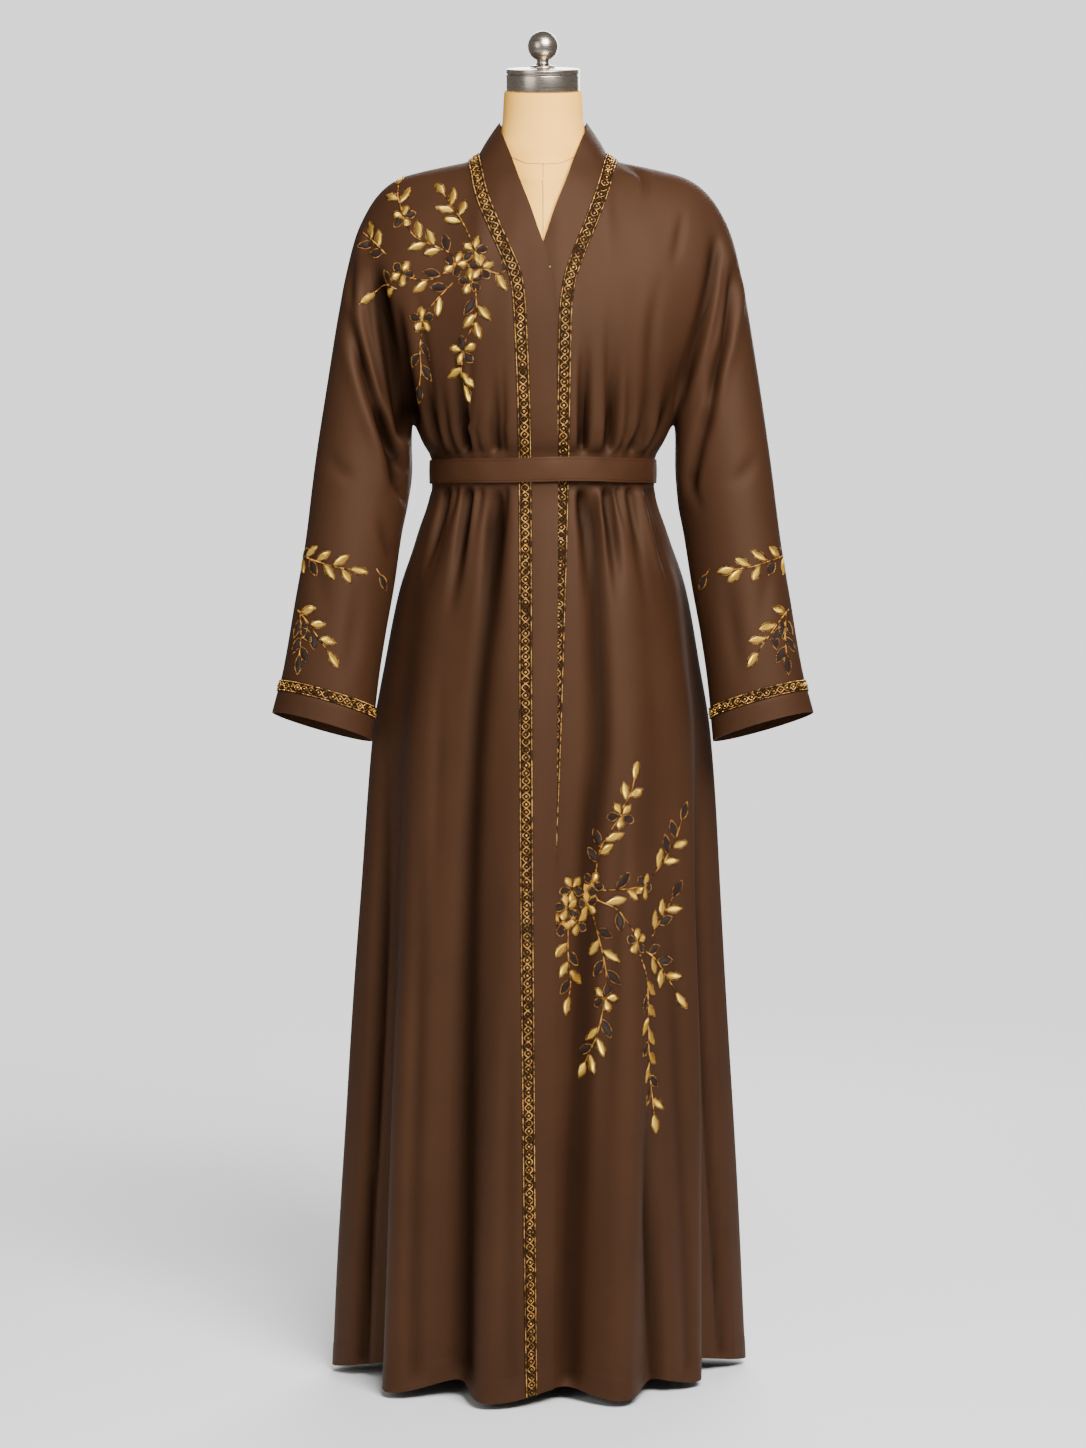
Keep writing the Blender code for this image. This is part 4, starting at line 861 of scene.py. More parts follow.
def distance_along(flat, path):
    """Signed distance from a path, and the share of the way along it."""
    path = np.array(path, float)
    best = np.full(len(flat), 1e9)
    signed, where = np.zeros(len(flat)), np.zeros(len(flat))
    for i in range(len(path) - 1):
        step = path[i + 1] - path[i]
        s = np.clip(((flat - path[i]) @ step) / (step @ step), 0, 1)
        away = flat - path[i] - s[:, None] * step
        distance = np.linalg.norm(away, axis=1)
        side = np.sign(step[1] * away[:, 0] - step[0] * away[:, 1])
        closer = distance < best
        best = np.where(closer, distance, best)
        signed = np.where(closer, distance * side, signed)
        where = np.where(closer, (i + s) / (len(path) - 1), where)
    return signed, where


def smooth_path(points, steps=6):
    """A smooth line through points in any number of dimensions."""
    points = np.array(points, float)
    if len(points) < 3:
        share = np.linspace(0, 1, steps + 1)[:, None]
        return points[0] * (1 - share) + points[-1] * share
    ends = np.concatenate([[2 * points[0] - points[1]], points, [2 * points[-1] - points[-2]]])
    line = []
    for i in range(1, len(ends) - 2):
        a, b, c, d = ends[i - 1 : i + 3]
        square, cube = 2 * a - 5 * b + 4 * c - d, 3 * b - a - 3 * c + d
        for t in np.linspace(0, 1, steps, endpoint=False):
            line.append(0.5 * (2 * b + (c - a) * t + square * t**2 + cube * t**3))
    return np.array([*line, points[-1]])


def crease_depth(points, facing, table):
    """How far the creases press points in, seen along the Y axis."""
    total = np.zeros(len(points))
    flat = points[:, [0, 2]]
    for crease in table:
        path = smooth_path(crease.points, 4)
        reach = 5 * crease.half_width
        within = (flat > path.min(0) - reach) & (flat < path.max(0) + reach)
        near = (facing > 0.02) & np.all(within, axis=1)
        signed, where = distance_along(flat[near], path)
        taper = ease(where / crease.start_fade) * ease((1 - where) / crease.end_fade)
        across = signed / crease.half_width
        side = math.copysign(CREASE_RIDGE_AWAY, crease.ridge)
        beside = np.exp(-(((across - side) / CREASE_RIDGE_SPREAD) ** 2))
        shape = np.exp(-(across**2)) - abs(crease.ridge) * CREASE_RIDGE_SHARE * beside
        total[near] += crease.depth * taper * shape * ease(facing[near] / 0.35)
    return total


def slack(points):
    """The slow, shallow waves of loosely hanging cloth, none at the belt and the shoulder."""
    angle = np.arctan2(points[:, 0], -points[:, 1])
    height = points[:, 2]
    total = np.zeros(len(points))
    for wave in SLACK_WAVES:
        total += wave.depth * np.sin(wave.turns * angle + wave.rise * height * MM + wave.phase)
    near_belt = ease(np.abs(height - (BELT_TOP + BELT_BOTTOM) / 2) / 90 - 0.25)
    return total * near_belt * ease((1440 - height) / 60)


def soften(values, faces, weights, rounds):
    """Draws each point's values towards the mean of its neighbours', where the weights say."""
    busy = faces[(weights[faces] > 0.02).any(axis=1)]
    pairs = np.concatenate([busy[:, [0, 1]], busy[:, [1, 2]], busy[:, [2, 3]], busy[:, [3, 0]]])
    here = np.concatenate([pairs[:, 0], pairs[:, 1]])
    there = np.concatenate([pairs[:, 1], pairs[:, 0]])
    count = np.bincount(here, minlength=len(values))
    used = count > 0
    step = weights[used][:, None] * 0.5
    for _ in range(rounds):
        sums = [np.bincount(here, column[there], len(values)) for column in values.T]
        mean = np.stack(sums, axis=1)[used] / count[used][:, None]
        values[used] += (mean - values[used]) * step
    return values


def hem_step(points, cuts, places):
    """The turned hem and the turned cuffs are two layers, so they stand out a little."""
    raised = np.zeros(len(points))
    for cut, at in zip(cuts, places):
        rows = np.repeat(np.arange(cut.shape[0]), cut.shape[1])
        if cut.name.startswith("sleeve"):
            inside = rows >= cut.shape[0] - HEM_ROWS
        else:
            inside = rows <= HEM_ROWS
        raised[at[inside]] = HEM_STEP
    return raised


def drape(cuts, armholes):
    """Softens the armholes, presses the creases into all the cloth at once, and works out the painted
    shade that each point gets from its creases and gathers.
    """
    points, places = joined(cuts)
    faces = np.concatenate([at[cut.faces] for cut, at in zip(cuts, places)])
    edge = np.concatenate(armholes)
    weights = np.zeros(len(points))
    close = np.abs(points[:, 0]) > 110
    for i in np.nonzero(close & (points[:, 2] > 1080))[0]:
        gap = np.min(np.sum((edge - points[i]) ** 2, axis=1))
        weights[i] = math.exp(-gap / ARMHOLE_SOFT_REACH**2)
    points = soften(points, faces, weights, ARMHOLE_SOFT_ROUNDS)
    normals = point_normals(points, faces)
    everywhere = np.ones(len(points))
    facing = soften(normals[:, 1:2].copy(), faces, everywhere, FACING_SOFT_ROUNDS)[:, 0]
    depth = crease_depth(points, -facing, FRONT_CREASES)
    depth += crease_depth(points, facing, BACK_CREASES)
    # Painted shade, from how far the creases press in, darkest past FULL_SHADE_DEPTH
    painted_shade = np.clip(depth / FULL_SHADE_DEPTH, 0, 1) ** SHADE_POWER
    depth -= slack(points) + hem_step(points, cuts, places)
    points = points - normals * depth[:, None]
    normals = point_normals(points, faces)
    for cut, at in zip(cuts, places):
        cut.points = points[at]
        cut.normals = normals[at]
        cut.fold = painted_shade[at]
        if not cut.name.startswith("sleeve"):
            x, y, height = cut.points.T
            # Painted shade at the belt's gathers too, added to that of the creases
            painted_gather_shade = np.clip(gather_depth(np.arctan2(x, -y), height) / FULL_SHADE_DEPTH, 0, 1)
            cut.fold = np.clip(cut.fold + painted_gather_shade**SHADE_POWER, 0, 1)


# Meshes


def placed(name, mesh):
    """An object in the scene for a mesh."""
    made = bpy.data.objects.new(name, mesh)
    bpy.context.scene.collection.objects.link(made)
    return made


def clean_mesh(name, points, faces, material):
    mesh = bpy.data.meshes.new(name)
    corners = [tuple(p) for p in np.asarray(points) * MM]
    mesh.from_pydata(corners, [], [list(map(int, f)) for f in faces])
    if material:
        mesh.materials.append(material)
    mesh.shade_smooth()
    mesh.set_sharp_from_angle(angle=SHARP_ANGLE)
    return placed(name, mesh)


def facing_out(made):
    """A closed piece with all its faces turned outwards."""
    build = bmesh.new()
    build.from_mesh(made.data)
    bmesh.ops.recalc_face_normals(build, faces=build.faces)
    build.to_mesh(made.data)
    build.free()
    return made


def shell(name, points, faces, normals, low, high, material):
    """A closed thin wall between two offsets of a surface, its edges closed by a plain strip of faces."""
    count = len(points)
    outer = points + normals * high
    inner = points + normals * low
    sides = np.concatenate([faces[:, [k, (k + 1) % 4]] for k in range(4)])
    known = set(map(tuple, sides.tolist()))
    rim = np.array([side for side in sides.tolist() if (side[1], side[0]) not in known])
    around = np.stack([rim[:, 1], rim[:, 0], rim[:, 0] + count, rim[:, 1] + count], axis=1)
    every = np.concatenate([faces, faces[:, ::-1] + count, around])
    return clean_mesh(name, np.concatenate([outer, inner]), every, material)


def pulled_in(cut, edges):
    """Moves a piece's seam edges in by half the seam's gap."""
    grid = cut.grid().copy()
    source = cut.grid()
    for name in edges:
        first = name.startswith("first")
        here, inner = (0, 1) if first else (-1, -2)
        if name.endswith("row"):
            step = source[inner] - source[here]
            grid[here] += unit(step) * SEAM_GAP / 2
        else:
            step = source[:, inner] - source[:, here]
            grid[:, here] += unit(step) * SEAM_GAP / 2
    return grid.reshape(-1, 3)


def make_piece(cut, edges, material):
    made = shell(cut.name, pulled_in(cut, edges), cut.faces, cut.normals, -WALL, 0.0, material)
    # The painted shade of the folds, which the cloth's material reads to darken its colour and lower its
    # shine
    fold = made.data.attributes.new("fold", "FLOAT", "POINT")
    fold.data.foreach_set("value", np.tile(cut.fold, 2).astype(np.float32))
    return made


def as_piece(made, node):
    """The calls that every piece of the part needs."""
    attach(made, BODY_NAME)
    if node:
        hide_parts(node)
    return made


# Braid


def surface_tree(cuts):
    """A tree for finding the nearest point of the cloth."""
    points, faces, shift = [], [], 0
    for cut in cuts:
        points.append(cut.points)
        faces.append(cut.faces + shift)
        shift += len(cut.points)
    points, faces = np.concatenate(points), np.concatenate(faces)
    return BVHTree.FromPolygons([tuple(p) for p in points], [tuple(map(int, f)) for f in faces])


def laid_on(tree, points, rise):
    """Points moved to the nearest place on the cloth and up from it, with the cloth's directions."""
    found = [tree.find_nearest(Vector(p)) for p in np.asarray(points, float)]
    normals = np.array([tuple(hit[1]) for hit in found])
    places = np.array([tuple(hit[0]) for hit in found])
    return places + normals * np.asarray(rise, float).reshape(-1, 1), normals


def evenly(line, spacing):
    """Points at even steps along a line."""
    line = np.asarray(line, float)
    lengths = np.concatenate([[0], np.cumsum(np.linalg.norm(np.diff(line, axis=0), axis=1))])
    count = max(2, int(round(lengths[-1] / spacing)))
    at = np.linspace(0, lengths[-1], count + 1)
    return np.stack([np.interp(at, lengths, line[:, i]) for i in range(line.shape[1])], axis=1)


def tape_on(tree, line, side, width):
    """A strip of points laid on the cloth from a line outwards."""
    line = evenly(line, 4.0)
    line, normals = laid_on(tree, line, 0.0)
    tangent = unit(np.gradient(line, axis=0))
    outward = unit(np.cross(normals, tangent)) * -side
    for _ in range(6):
        outward[1:-1] = (outward[:-2] + outward[1:-1] + outward[2:]) / 3
    across = np.linspace(0, 1, TAPE_COLUMNS + 1)
    strip = line[:, None] + unit(outward)[:, None] * (across * width)[None, :, None]
    laid, normals = laid_on(tree, strip.reshape(-1, 3), 0.0)
    return laid.reshape(strip.shape), normals.reshape(strip.shape)


def on_tape(tape, s, t):
    """Points of a tape at rows s and shares t of its width."""
    rows, columns = tape.shape[:2]
    s = np.clip(s, 0, rows - 1.001)
    t = np.clip(t, 0, 0.9999) * (columns - 1)
    i, j = s.astype(int), t.astype(int)
    u, v = (s - i)[:, None], (t - j)[:, None]
    return (
        tape[i, j] * (1 - u) * (1 - v)
        + tape[i + 1, j] * u * (1 - v)
        + tape[i, j + 1] * (1 - u) * v
        + tape[i + 1, j + 1] * u * v
    )


TAPE_LOW = 0.3
TAPE_HIGH = 1.1
PLAIT_LENGTH = 18.0
PLAIT_REACH = 0.27
BRAID_BEAD = 0.75
BRAID_SPACING = 1.6
MIDDLE_BEAD = 1.3


def braid_lines(tape, normals, rise, closed=False):
    """Two crossing strands between two edge rows, as lines for the beads to follow.

    The last line runs through the middles of the gaps between the crossings.
    """
    raised = tape + normals * rise
    if closed:
        raised = np.concatenate([raised, raised[:1]])
    middle = raised[:, raised.shape[1] // 2]
    lengths = np.concatenate([[0], np.cumsum(np.linalg.norm(np.diff(middle, axis=0), axis=1))])
    turns = lengths[-1] / PLAIT_LENGTH
    if closed:
        turns = round(turns)
    s = np.linspace(0, len(middle) - 1, int(lengths[-1] / 1.0))
    along = np.interp(s, np.arange(len(middle)), lengths) / lengths[-1] * turns * 2 * math.pi
    lines = [on_tape(raised, s, np.full(len(s), t)) for t in (0.07, 0.93)]
    for turn in (1, -1):
        lines.append(on_tape(raised, s, 0.5 + PLAIT_REACH * turn * np.sin(along)))
    whole = np.arange(0.25, turns, 0.5) / turns
    gaps = np.interp(whole * lengths[-1], lengths, np.arange(len(middle)))
    return lines, on_tape(raised, gaps, np.full(len(gaps), 0.5))


# Repeated pieces grown along lines and on points


def add_node(tree, kind, feeds=None, **settings):
    made = tree.nodes.new(kind)
    for name, value in settings.items():
        setattr(made, name, value)
    for name, value in (feeds or {}).items():
        if isinstance(value, bpy.types.NodeSocket):
            tree.links.new(value, made.inputs[name])
        else:
            made.inputs[name].default_value = value
    return made


SOCKET_KINDS = {
    "Spacing": "NodeSocketFloat",
    "Length": "NodeSocketFloat",
    "Radius": "NodeSocketFloat",
    "Finish": "NodeSocketMaterial",
    "Leaf": "NodeSocketObject",
}


def geometry_tree(name, *labels):
    """A new tree with the named inputs, and the node that gives them."""
    tree = bpy.data.node_groups.new(name, "GeometryNodeTree")
    tree.interface.new_socket("Geometry", in_out="INPUT", socket_type="NodeSocketGeometry")
    for label in labels:
        tree.interface.new_socket(label, in_out="INPUT", socket_type=SOCKET_KINDS[label])
    tree.interface.new_socket("Geometry", in_out="OUTPUT", socket_type="NodeSocketGeometry")
    return tree, tree.nodes.new("NodeGroupInput")


def finish_tree(tree, shape, given, smooth=True):
    """The end of every tree: a plain mesh with its material."""
    shape = add_node(tree, "GeometryNodeRealizeInstances", {"Geometry": shape}).outputs["Geometry"]
    if smooth:
        shape = add_node(tree, "GeometryNodeSetShadeSmooth", {"Geometry": shape}).outputs["Geometry"]
    feeds = {"Geometry": shape, "Material": given.outputs["Finish"]}
    finish = add_node(tree, "GeometryNodeSetMaterial", feeds)
    result = tree.nodes.new("NodeGroupOutput")
    tree.links.new(finish.outputs["Geometry"], result.inputs["Geometry"])
    return tree


def put_on(tree, points, shape, **turned_and_sized):
    """A copy of a shape on every point."""
    feeds = {"Points": points, "Instance": shape, **turned_and_sized}
    return add_node(tree, "GeometryNodeInstanceOnPoints", feeds).outputs["Instances"]


def line_of(tree, given):
    line = add_node(tree, "GeometryNodeMeshToCurve", {"Mesh": given.outputs["Geometry"]})
    return line.outputs["Curve"]


def steps_along(tree, given):
    """Points at even steps along every line."""
    feeds = {"Curve": line_of(tree, given), "Length": given.outputs["Spacing"]}
    return add_node(tree, "GeometryNodeCurveToPoints", feeds, mode="LENGTH")


def bead_of(tree, given, detail):
    feeds = {"Radius": given.outputs["Radius"], "Subdivisions": detail}
    return add_node(tree, "GeometryNodeMeshIcoSphere", feeds).outputs["Mesh"]


def aligned(tree, axis, feeds, **settings):
    kind = "FunctionNodeAlignRotationToVector"
    return add_node(tree, kind, feeds, axis=axis, **settings).outputs["Rotation"]


def bead_tree():
    """Round beads at even steps along every line."""
    tree, given = geometry_tree("beads_along_lines", "Spacing", "Radius", "Finish")
    points = steps_along(tree, given).outputs["Points"]
    return finish_tree(tree, put_on(tree, points, bead_of(tree, given, 1)), given)


def dot_tree():
    """A round bead on every point."""
    tree, given = geometry_tree("beads_on_points", "Radius", "Finish")
    points = given.outputs["Geometry"]
    return finish_tree(tree, put_on(tree, points, bead_of(tree, given, 2)), given)


def tube_tree():
    """A thin round cord along every line."""
    tree, given = geometry_tree("cord_along_lines", "Radius", "Finish")
    feeds = {"Resolution": 6, "Radius": given.outputs["Radius"]}
    ring = add_node(tree, "GeometryNodeCurvePrimitiveCircle", feeds)
    feeds = {
        "Curve": line_of(tree, given),
        "Profile Curve": ring.outputs["Curve"],
        "Fill Caps": True,
    }
    cord = add_node(tree, "GeometryNodeCurveToMesh", feeds)
    return finish_tree(tree, cord.outputs["Mesh"], given)


def stitch_tree():
    """Short threads at even steps along every line."""
    tree, given = geometry_tree("stitches_along_lines", "Spacing", "Length", "Radius", "Finish")
    dots = steps_along(tree, given)
    feeds = {"Vertices": 6, "Radius": given.outputs["Radius"], "Depth": given.outputs["Length"]}
    thread = add_node(tree, "GeometryNodeMeshCylinder", feeds).outputs["Mesh"]
    turn = aligned(tree, "Z", {"Vector": dots.outputs["Tangent"]})
    return finish_tree(tree, put_on(tree, dots.outputs["Points"], thread, Rotation=turn), given)


def leaf_tree():
    """One leaf at every spot, turned along it and facing out of the cloth."""
    tree, given = geometry_tree("leaves_on_spots", "Leaf", "Finish")

    def reading(name):
        kind = "GeometryNodeInputNamedAttribute"
        return add_node(tree, kind, {"Name": name}, data_type="FLOAT_VECTOR").outputs["Attribute"]

    leaf = add_node(tree, "GeometryNodeObjectInfo", {"Object": given.outputs["Leaf"]})
    along = aligned(tree, "X", {"Vector": reading("along")})
    out = aligned(tree, "Z", {"Rotation": along, "Vector": reading("out")}, pivot_axis="X")
    shape = leaf.outputs["Geometry"]
    leaves = put_on(tree, given.outputs["Geometry"], shape, Rotation=out, Scale=reading("span"))
    return finish_tree(tree, leaves, given, smooth=False)


def grown(name, guide, tree, values):
    """The plain mesh that a tree makes from a guide object. The guide is removed."""
    modifier = guide.modifiers.new("Grow", "NODES")
    modifier.node_group = tree
    for item in tree.interface.items_tree:
        if item.in_out == "INPUT" and item.name in values:
            modifier[item.identifier] = values[item.name]
    evaluated = guide.evaluated_get(bpy.context.evaluated_depsgraph_get())
    mesh = bpy.data.meshes.new_from_object(evaluated)
    mesh.name = name
    made = placed(name, mesh)
    bpy.data.objects.remove(guide)
    return made


def lines_object(name, lines, closed=False):
    """A mesh of bare edges, in metres, one chain for each line."""
    points, edges = [], []
    for line in lines:
        first = len(points)
        points += [tuple(p) for p in np.asarray(line) * MM]
        edges += [(i, i + 1) for i in range(first, len(points) - 1)]
        if closed:
            edges.append((len(points) - 1, first))
    mesh = bpy.data.meshes.new(name)
    mesh.from_pydata(points, edges, [])
    return placed(name, mesh)


def joined_objects(name, objects, material):
    """Several plain meshes made into one piece."""
    build = bmesh.new()
    for made in objects:
        build.from_mesh(made.data)
    mesh = bpy.data.meshes.new(name)
    build.to_mesh(mesh)
    build.free()
    mesh.materials.append(material)
    for made in objects:
        bpy.data.objects.remove(made)
    return placed(name, mesh)


Trees = namedtuple("Trees", "beads dots stitches leaves cord")


def grown_lines(name, lines, tree, finish, closed=False, **sizes):
    """Pieces grown from lines of points, with the sizes in millimetres."""
    values = {label: size * MM for label, size in sizes.items()}
    return grown(name, lines_object(name + "_guide", lines, closed), tree, {**values, "Finish": finish})


def beaded(name, tape, normals, trees, finish, closed=False):
    """The beads of a braid on its tape, as one piece."""
    lines, gaps = braid_lines(tape, normals, TAPE_HIGH + 0.5 * BRAID_BEAD, closed)
    rows = grown_lines("rows", lines, trees.beads, finish, Spacing=BRAID_SPACING, Radius=BRAID_BEAD)
    dots = grown_lines("dots", [gaps], trees.dots, finish, Radius=MIDDLE_BEAD)
    return as_piece(joined_objects(name, [rows, dots], finish), None)


# Embroidery: stems with leaves, and five-petalled flowers

# Points are millimetres across and up, as seen from the front. The leaves stand on
# alternate sides of the stem, g for gold and d for a dark one. A stem with a tip has one
# more leaf on its end.
Stem = namedtuple("Stem", "points first step leaves side tip")
SHOULDER_STEMS = [
    Stem([(-84, 1356), (-95, 1379), (-107, 1397), (-116, 1411)], 26, 9, "gggg", 1, "g"),
    Stem([(-103, 1338), (-126, 1349), (-150, 1361), (-160, 1377)], 8, 10, "dgggg", -1, ""),
    Stem([(-166, 1394), (-171, 1410), (-171, 1426)], 8, 7, "gg", -1, "g"),
    Stem([(-184, 1341), (-199, 1357), (-213, 1369)], 4, 10, "dgdg", 1, ""),
    Stem([(-107, 1322), (-129, 1310), (-150, 1311), (-158, 1314)], 14, 16, "dg", -1, ""),
    Stem([(-172, 1300), (-186, 1306), (-198, 1298)], 2, 6, "gd", 1, "g"),
    Stem([(-104, 1306), (-123, 1287), (-133, 1276)], 9, 13, "dg", -1, ""),
    Stem([(-142, 1250), (-144, 1229), (-143, 1206), (-145, 1188)], 12, 13, "ddd", 1, "d"),
    Stem([(-78, 1297), (-77, 1272), (-83, 1252), (-90, 1238)], 9, 9, "dggg", -1, ""),
    Stem([(-94, 1212), (-95, 1200), (-92, 1188)], 5, 5, "gg", -1, "g"),
    Stem([(-66, 1320), (-52, 1315), (-42, 1319)], 12, 8, "gd", -1, ""),
]
LONG_STEM = [(113, 524), (121, 494), (123, 441), (124, 390), (128, 352), (130, 334)]
SKIRT_STEMS = [
    Stem([(93, 697), (102, 712), (106, 728)], 8, 6, "gg", 1, "g"),
    Stem([(62, 622), (67, 648), (76, 664), (84, 678)], 10, 9, "dgdg", 1, ""),
    Stem([(71, 600), (92, 601), (108, 603)], 14, 12, "dg", 1, ""),
    Stem([(127, 613), (141, 629), (154, 650), (163, 676)], 14, 11, "ggdgd", 1, "d"),
    Stem([(64, 588), (86, 578), (99, 562), (106, 551)], 9, 18, "gd", 1, ""),
    Stem([(128, 544), (140, 565), (152, 586)], 6, 10, "gdgg", 1, "d"),
    Stem([(116, 531), (133, 514), (146, 492), (157, 474)], 14, 11, "dgdgg", 1, "g"),
    Stem(LONG_STEM, 34, 14, "gdgggdggddg", 1, "g"),
    Stem([(59, 568), (67, 537), (73, 508), (73, 490)], 14, 12, "dggdd", 1, ""),
    Stem([(70, 461), (63, 432), (55, 412), (50, 400)], 10, 11, "dggdg", 1, "g"),
    Stem([(29, 559), (29, 524), (32, 494), (30, 478)], 18, 11, "gdggd", -1, "g"),
]
SLEEVE_STEMS = [
    Stem([(-296, 990), (-284, 987), (-265, 981), (-245, 975), (-226, 972)], 8, 11.2, "dggdgggg", 1, "g"),
    Stem([(-289, 924), (-278, 912), (-262, 890), (-252, 876)], 6, 10.5, "gdgdg", 1, "g"),
    Stem([(-286, 922), (-284, 898), (-286, 872)], 8, 11, "dddd", -1, "d"),
    Stem([(-196, 972), (-193, 966)], 1, 1, "", 1, "d"),
]

# Each flower's five petals, g for gold and d for dark, and the way the first one points.
Flower = namedtuple("Flower", "x height radius petals turn")
SHOULDER_FLOWERS = [
    Flower(-80, 1343, 15, "ggdgd", 80),
    Flower(-102, 1327, 14, "gdgdg", 70),
    Flower(-72, 1322, 14, "ggdgd", 20),
    Flower(-84, 1306, 14, "gdgdd", 100),
    Flower(-165, 1318, 14, "gdggd", 60),
    Flower(-164, 1385, 14, "gdgdg", 160),
    Flower(-141, 1263, 14, "gdggd", 90),
    Flower(-93, 1226, 16, "dggdg", 95),
]
SKIRT_FLOWERS = [
    Flower(34, 602, 15, "gdgdg", 120),
    Flower(57, 606, 14, "gdgdd", 60),
    Flower(28, 580, 15, "ggdgd", 30),
    Flower(52, 583, 14, "gdggd", 100),
    Flower(40, 562, 14, "gdgdg", 250),
    Flower(91, 687, 15, "ggdgd", 45),
    Flower(118, 603, 14, "gdggd", 60),
    Flower(110, 540, 14, "gdgdg", 90),
    Flower(72, 475, 15, "dgdgg", 70),
    Flower(20, 562, 13, "ddgdg", 200),
]
LEAF_LENGTH = 21.0
LEAF_WIDTH = 8.0
LEAF_RISE = 2.0
LEAF_ANGLE = math.radians(42)
PETAL_WIDTH = 7.6
PETAL_SHORTER = 1.2
PETAL_CLEAR = 2.0
LEAF_CLEAR = 2.2
TIP_CLEAR = 1.5
LEAF_FULLNESS = 1.0
PETAL_FULLNESS = 1.45
OUTLINE_SPREAD = 1.3
OUTLINE_BEAD = 0.65
OUTLINE_SPACING = 2.1
STEM_BEAD = 0.85
STEM_SPACING = 1.7


def leaf_outline(length, width, fullness, count=22):
    """A pointed oval round a leaf, from its foot at the origin along X."""
    s = np.linspace(0, 1, count // 2 + 1)
    half = width / 2 * np.sin(math.pi * s**fullness) ** 0.85
    top = np.stack([length * s, half], axis=1)
    return np.concatenate([top, top[-2:0:-1] * [1, -1]])


def leaf_object(name, fullness):
    """A domed, satin-stitched leaf of unit length and width, with its height as an attribute."""
    stations, across = 13, 7
    s = np.linspace(0, 1, stations)
    half = 0.5 * np.sin(math.pi * s**fullness) ** 0.85
    t = np.linspace(-1, 1, across)
    x = np.repeat(s[:, None], across, axis=1)
    y = half[:, None] * t
    dome = np.sqrt(np.maximum(0, 1 - t**2)) * (2 * half[:, None]) ** 0.5
    z = 0.12 + 0.88 * dome
    points = np.stack([x, y, z], axis=-1).reshape(-1, 3)
    made = clean_mesh(name, points / MM, grid_faces(stations, across)[:, ::-1], None)
    bend = made.data.uv_layers.new(name="thread")
    for corner in made.data.loops:
        i = corner.vertex_index
        bend.data[corner.index].uv = (x.flat[i], (i % across) / (across - 1))
    rise = made.data.attributes.new("rise", "FLOAT", "POINT")
    rise.data.foreach_set("value", z.reshape(-1).astype(np.float32))
    return made


def dropped(tree, flat):
    """Points seen from the front, dropped onto the cloth, with the cloth's directions."""
    places, normals = [], []
    for x, z in flat:
        hit = tree.ray_cast(Vector((x, -500.0, z)), Vector((0, 1, 0)))
        if hit[0] is None:
            hit = tree.find_nearest(Vector((x, -60.0, z)))
        places.append(tuple(hit[0]))
        normals.append(tuple(hit[1]))
    normals = np.array(normals)
    normals[normals[:, 1] > 0] *= -1
    return np.array(places), normals


Mark = namedtuple("Mark", "foot way normal length width kind")


def leaf_marks(tree, stems, draw):
    """Where every leaf of the stems sits."""
    marks = []
    for stem in stems:
        line, normals = dropped(tree, evenly(smooth_path(stem.points), 1.0))
        lengths = np.concatenate([[0], np.cumsum(np.linalg.norm(np.diff(line, axis=0), axis=1))])
        side = stem.side
        for k, kind in enumerate(stem.leaves):
            at = min(stem.first + k * stem.step, lengths[-1] - 1)
            i = min(int(np.searchsorted(lengths, at)), len(line) - 2)
            along = unit(line[min(i + 4, len(line) - 1)] - line[max(i - 4, 0)])
            across = unit(np.cross(normals[i], along)) * side
            angle = LEAF_ANGLE * draw.uniform(0.8, 1.2)
            way = along * math.cos(angle) + across * math.sin(angle)
            length = LEAF_LENGTH * draw.uniform(0.88, 1.08)
            foot = line[i] + way * LEAF_CLEAR
            marks.append(Mark(foot, way, normals[i], length, LEAF_WIDTH, kind))
            side = -side
        if stem.tip:
            along = unit(line[-1] - line[-5])
            foot = line[-1] + along * TIP_CLEAR
            marks.append(Mark(foot, along, normals[-1], LEAF_LENGTH, LEAF_WIDTH, stem.tip))
    return marks


def petal_marks(tree, flowers):
    marks = []
    for flower in flowers:
        places, normals = dropped(tree, [(flower.x, flower.height)])
        up = unit(np.cross(normals[0], np.cross([0, 0, 1.0], normals[0])))
        right = np.cross(up, normals[0])
        for k, kind in enumerate(flower.petals):
            turn = math.radians(flower.turn + 72 * k)
            way = right * math.cos(turn) + up * math.sin(turn)
            foot = places[0] + way * PETAL_CLEAR
            length = flower.radius - PETAL_SHORTER
            marks.append(Mark(foot, way, normals[0], length, PETAL_WIDTH, kind))
    return marks


def spots_object(name, marks):
    mesh = bpy.data.meshes.new(name)
    mesh.from_pydata([tuple(m.foot * MM) for m in marks], [], [])
    spans = [(m.length * MM, m.width * MM, LEAF_RISE * MM) for m in marks]
    ways, normals = [m.way for m in marks], [m.normal for m in marks]
    for label, rows in (("along", ways), ("out", normals), ("span", spans)):
        attribute = mesh.attributes.new(label, "FLOAT_VECTOR", "POINT")
        attribute.data.foreach_set("vector", np.array(rows, np.float32).ravel())
    return placed(name, mesh)


def settled(made, tree, height):
    """Lays every point of a piece on the cloth at its own height above it."""
    mesh = made.data
    points = np.zeros(len(mesh.vertices) * 3, np.float32)
    mesh.vertices.foreach_get("co", points)
    rise = np.zeros(len(mesh.vertices), np.float32)
    mesh.attributes["rise"].data.foreach_get("value", rise)
    laid, _ = laid_on(tree, points.reshape(-1, 3) / MM, rise * height)
    mesh.vertices.foreach_set("co", (laid * MM).astype(np.float32).ravel())
    mesh.update()


def outline_lines(tree, marks, fullness):
    lines = []
    for mark in marks:
        across = np.cross(mark.normal, mark.way)
        length, width = mark.length + 2 * OUTLINE_SPREAD, mark.width + 2 * OUTLINE_SPREAD
        flat = leaf_outline(length, width, fullness)
        points = mark.foot + (flat[:, :1] - OUTLINE_SPREAD) * mark.way + flat[:, 1:] * across
        lines.append(laid_on(tree, points, OUTLINE_BEAD * 0.8)[0])
    return lines


# Materials


